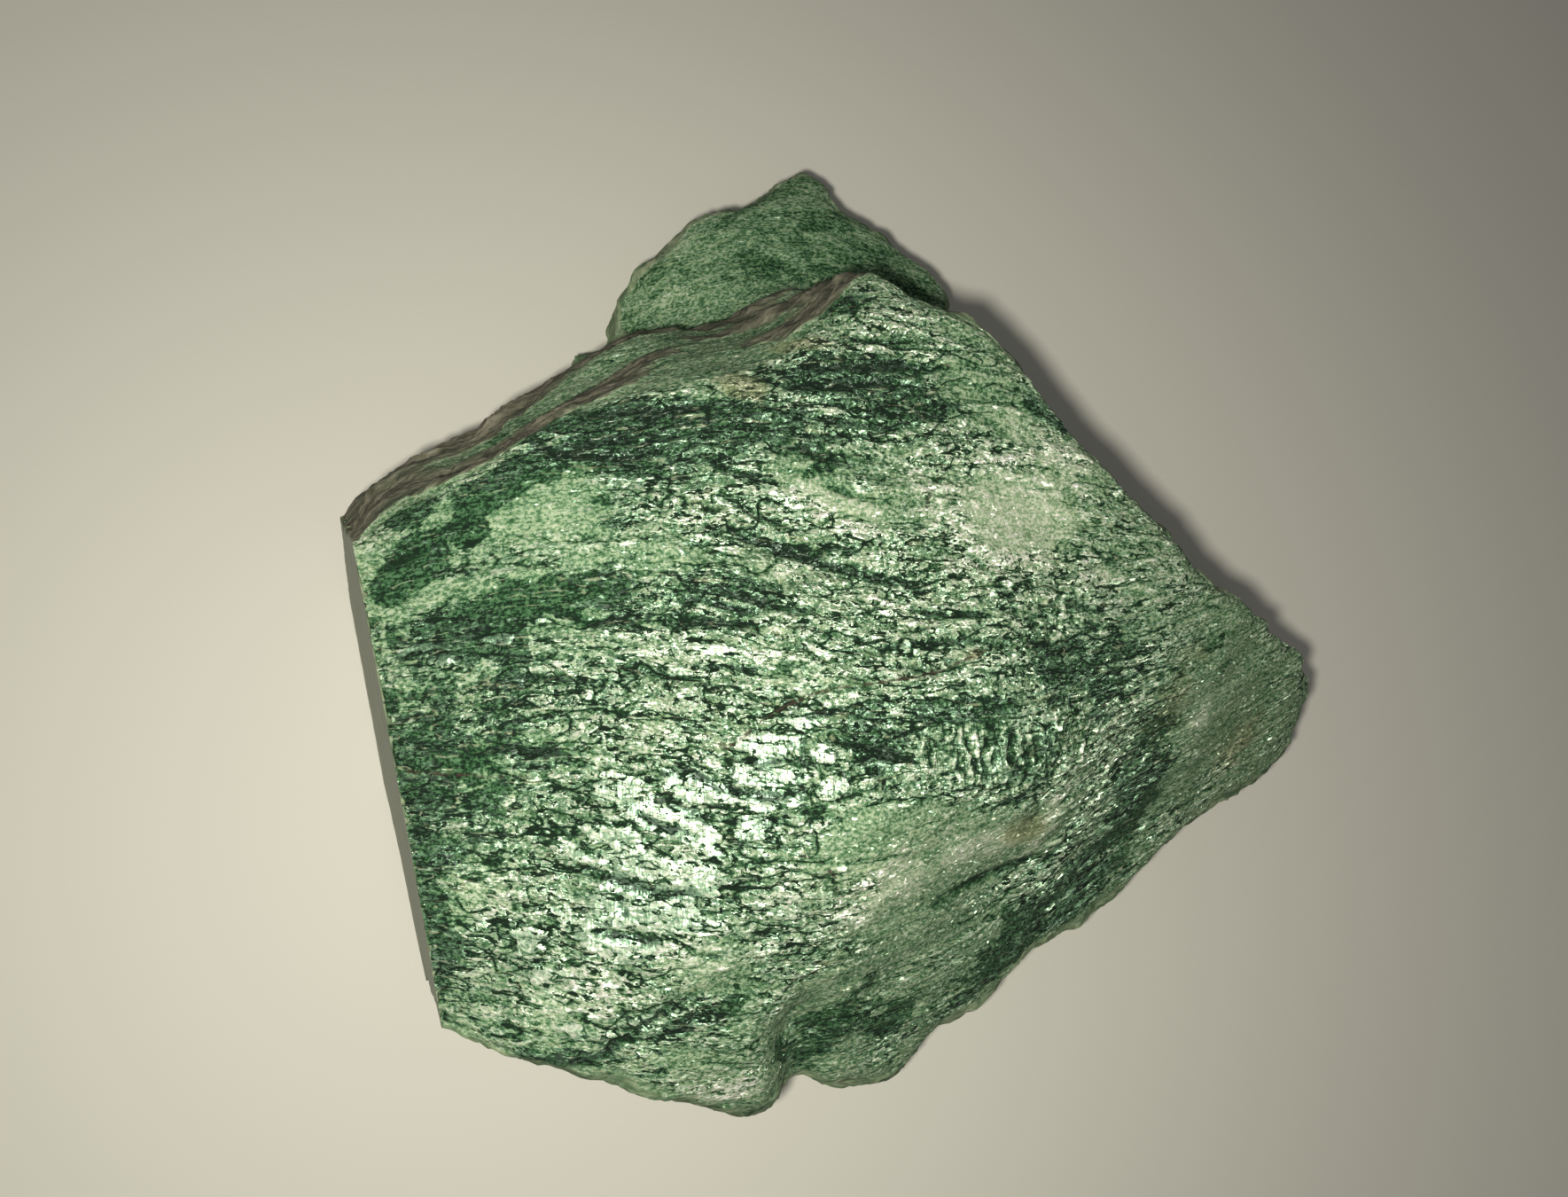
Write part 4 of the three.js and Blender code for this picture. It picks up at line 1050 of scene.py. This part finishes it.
tone = 0.495 + 0.10 * here.tint + 0.28 * dark_patch - 0.14 * pale_patch + streaks
tone += (TERRACE_TONE - tone) * (0.5 * here.terrace)
# Painted shade: hollows of the relief are darker, bumps lighter
tone += 0.14 * here.hollow
tone = maths("MINIMUM", tone, DARKEST_PATCH) + specks * speckled
# Painted shade: the gaps between fine ridges, under scale edges and between ribs are darkened
tone += 0.26 * fine["Gap"]
tone += coarse["Gap"] * (0.48 + 0.27 * here.crossed)
# Painted highlight: the tops of crossing ribs are made paler
tone -= 0.16 * (coarse["Top"] * here.crossed)
# Painted shade: the gaps beside the crests are darkened
tone += 0.52 * hair_gaps
tone += 0.14 * flow
# Painted shade in the folds of the face and the creases of the walls
tone += 0.42 * here.crease
print("tone:", len(tree.nodes), "nodes")

# %% Schist: colour of the mica face
MICA = [
    (0.00, 202, 203, 184), (0.25, 160, 173, 140), (0.47, 112, 139, 101),
    (0.66, 62, 98, 62), (0.84, 22, 58, 26), (1.00, 2, 26, 6),
]
PALE_THREAD = srgb(180, 194, 148)

threads = use_group(tree, fibres, Place=grain, Size=(13.0, 1.2, 3.0), Thinness=0.03)["Mask"]
threads = threads * ramp(sized_noise(grain, (0.9, 0.5, 0.8)), 0.48, 0.56) * (1.0 - here.crease)
face_colour = mix_colour(threads * 0.4, colour_ramp(tone, MICA), PALE_THREAD)
print("the face has", len(MICA), "greens")

# %% Schist: colour of the walls and the rind, stains and cracks
WALL = [(0.00, 158, 166, 132), (0.35, 118, 134, 100), (0.60, 78, 100, 70), (1.00, 30, 46, 32)]
RIND = [(0.00, 146, 142, 122), (0.35, 108, 105, 86), (0.60, 76, 76, 60), (1.00, 24, 27, 18)]
STAIN = [(0.1, 152, 158, 116), (0.5, 110, 118, 80), (0.9, 46, 56, 34)]
CRACK = srgb(58, 46, 34)

layers = use_group(tree, mottle, Place=place, Size=(12.0, 12.0, 2.2), Contrast=1.0)["Value"]
# Painted shade: the walls are darker in their creases
wall_tone = layers + 0.42 + 0.35 * here.crease
wall_colour = mix_colour(here.rind, colour_ramp(wall_tone, WALL), colour_ramp(wall_tone, RIND))
ragged = (noise(vectors("SCALE", place, 0.8), 3.0) - 0.5) * 0.9
on_face = ramp(here.face + ragged, 0.35, 0.65)
colour = mix_colour(on_face, wall_colour, face_colour)
stained = ramp(here.brown + ragged, 0.25, 0.8, 0.0, 0.75)
colour = mix_colour(stained, colour, colour_ramp(tone, STAIN))
cracked = ramp(ragged * 0.25 + here.crack, 0.03, 0.19, 0.85, 0.0)
colour = mix_colour(cracked, colour, CRACK)
print("schist colour:", len(tree.nodes), "nodes")

# %% Schist: where the mica shines
crest = larger(long_crests["Crest"], short_crests["Crest"]) * creased
sparse = ramp(sized_noise(grain, (1.6, 0.8, 1.2)), 0.50, 0.56)
crest = larger(crest, coarse["Top"] * larger(sparse, here.crossed))
dark_lines = larger(fine["Gap"] * (plate * -0.15 + 1.0), larger(coarse["Gap"], hair_gaps))
stray = ramp(sized_noise(place, (0.62, 0.34, 0.4)), 0.615, 0.645)
mica = larger(larger(crest, plate) * (1.0 - dark_lines), stray)
mica = mica * (on_face * (1.0 - cracked))
print("mica mask:", len(tree.nodes), "nodes")

# %% Schist: fine relief in mm
FINE_HEIGHT = 0.6 * FINE_SIZE

lines = short_crests["Height"] * 0.6 + long_crests["Height"]
lines = lines * (creased * ((plate * -0.9 + 1.0) * (here.crossed * -0.8 + 1.0)) * 0.10)
cross_lines = abs(sized_noise(grain, (0.55, 2.2, 1.0)) * 2.0 - 1.0)
cross_lines = cross_lines * (here.crossed * 0.30 + plate * 0.13)
pores = noise(vectors("SCALE", place, 2.6), 4.0, 0.65) * (mica * -0.05 + 0.07)
edges = sized_noise(place, (1.6, 1.6, 0.35), 3.0) * (on_face * -0.22 + 0.25)
height = (lines + cross_lines) + (pores + edges) - 0.15 * cracked
height = fine["Height"] * ((plate * -0.5 + 1.0) * (on_face * FINE_HEIGHT)) + height
print("fine relief:", len(tree.nodes), "nodes")

# %% [markdown]
# ## The shine of the mica
#
# A flake is a clear plate over others, so it reflects like pale metal, tinted by the green below. The flakes
# of one sheet lie nearly parallel, so a whole region flashes together when the light is right. Here all the
# flakes lean towards one direction, and each has its own small turn. The direction was chosen to flash in
# the key light, and isn't measured on a real rock. It is fixed in the lump's own frame, so from another side
# the flashes fade.

# %% Schist: flakes and shine
FLAKE_LEAN = (-0.52, -0.15, 0.84)
SILVER_GAIN, SILVER_LIFT = (1.5, 1.30, 1.56), (0.03, 0.042, 0.03)
PLATE_LIFT = (0.04, 0.05, 0.04)
BRIGHTEST = (0.8, 0.8, 0.8)
MICA_ROUGHNESS, ROCK_ROUGHNESS = 0.33, 0.95

tilt = 0.9 + 2.0 * here.steep - 0.45 * plate
lie = vectors("SCALE", FLAKE_LEAN, 1.0 + 3.5 * here.steep)
turning = {"Share": mica * 1.1, "Tilt": tilt, "Lie": lie, "Normal": bumped(height)}
flaky = use_group(tree, flakes, Place=grain, Size=(0.60, 0.26, 0.4), **turning)
mirror = flaky["Mirror"]
silver = vectors("MULTIPLY_ADD", colour, SILVER_GAIN, SILVER_LIFT)
silver = vectors("ADD", silver, vectors("SCALE", PLATE_LIFT, plate))
silver = vectors("MINIMUM", silver, BRIGHTEST)
fill(shader["Base Color"], mix_colour(mirror, colour, silver))
fill(shader["Normal"], flaky["Normal"])
fill(shader["Metallic"], mirror * (0.34 + 0.06 * plate))
fill(shader["Roughness"], ramp(mica, 0.0, 1.0, ROCK_ROUGHNESS, MICA_ROUGHNESS))
fill(shader["IOR"], 1.5)
fill(shader["Specular IOR Level"], 0.35)
print("schist:", len(tree.nodes), "nodes")

# %% [markdown]
# ## The sawn face
#
# A diamond saw leaves the rock flat, grey and dull, with faint parallel scores. The layers show end on as
# slightly greener and paler bands. Both are noise on the place in millimetres, drawn out along the saw's way.

# %% Sawn schist
SAWN = [(0.0, 152, 152, 132), (0.5, 122, 128, 108), (1.0, 84, 98, 78)]
SCORE_SIZE = (40.0, 0.35, 6.0)
SCORE_HEIGHT = 0.05

sawn_schist, tree, shader = new_material("Sawn schist")
place = place_in_mm(tree)
bands = use_group(tree, mottle, Place=place, Size=(30.0, 14.0, 2.4), Contrast=0.8)["Value"]
fill(shader["Base Color"], colour_ramp(bands + 0.45, SAWN))
fill(shader["Roughness"], 0.62)
fill(shader["Normal"], bumped(sized_noise(place, SCORE_SIZE, 3.0, 0.6) * SCORE_HEIGHT))
print("sawn schist:", len(tree.nodes), "nodes")

# %% [markdown]
# ## Put the lump together
#
# The relief tree now runs over the skin. Its result becomes a plain mesh, so nothing is left to be worked
# out later, and the lump takes the place of the packed solid.

# %% Run the relief
crumpling = lump.modifiers.new("Schist relief", "NODES")
crumpling.node_group = relief
identifiers = {item.name: item.identifier for item in relief.interface.items_tree if item.in_out == "INPUT"}
crumpling[identifiers["Schist"]] = schist
crumpling[identifiers["Sawn schist"]] = sawn_schist
rough_lump = apply_modifiers(lump)
print("crumpled skin has", len(rough_lump.loop_triangles), "triangles")

# %% Note how deep each point lies in a hollow
HOLLOW_ROUNDS = 6
HOLLOW_DEPTH = 0.12

points, pairs = points_of(rough_lump) / MM, edges_of(rough_lump)
around = points
for _ in range(HOLLOW_ROUNDS):
    around = neighbour_mean(around, pairs)
# The finish uses this depth as painted shade: darker in hollows, lighter on bumps
hollow = ((around - points) * normals_of(rough_lump)).sum(1)
store(rough_lump, "hollow", np.clip(hollow / HOLLOW_DEPTH, -1, 1))
print("hollows are down to", round(float(hollow.max()), 2), "mm deep")

# %% [markdown]
# Flat places don't need the small squares, so a Decimate modifier merges them until the piece is
# just under 200,000 triangles. The rock is shaded smooth between its sharp edges. The sawn face is flat,
# and its triangles are long after the merge, so it is shaded flat to keep them from showing as streaks.

# %% Merge flat places
MOST_TRIANGLES = 196000
SHARP_EDGE = math.radians(50)

merge = lump.modifiers.new("Merge flat places", "DECIMATE")
merge.ratio = MOST_TRIANGLES / len(rough_lump.loop_triangles)
finished = apply_modifiers(lump)
finished.shade_smooth()
finished.set_sharp_from_angle(angle=SHARP_EDGE)
slots = np.empty(len(finished.polygons), int)
finished.polygons.foreach_get("material_index", slots)
finished.polygons.foreach_set("use_smooth", slots != finished.materials.find("Sawn schist"))
print("lump has", len(finished.loop_triangles), "triangles,", [finish.name for finish in finished.materials])

# %% Take the solid's place
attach(lump, "root")
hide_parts(NODE)
print("the lump stands for", NODE)

# %% Floor
FLOOR_SIZE = 3.0
FLOOR_BELOW = 0.02 * MM

half = FLOOR_SIZE / 2
floor_mesh = bpy.data.meshes.new("Floor")
corners = [(-half, -half, 0), (half, -half, 0), (half, half, 0), (-half, half, 0)]
floor_mesh.from_pydata(corners, [], [(0, 1, 2, 3)])
floor = bpy.data.objects.new("Floor", floor_mesh)
floor.location.z = -FLOOR_BELOW
bpy.context.scene.collection.objects.link(floor)
floor_finish, tree, shader = new_material("Plain floor")
fill(shader["Base Color"], srgb(206, 203, 188))
fill(shader["Roughness"], 0.9)
fill(shader["Specular IOR Level"], 0.2)
floor_mesh.materials.append(floor_finish)
print("floor is", FLOOR_SIZE, "m wide")
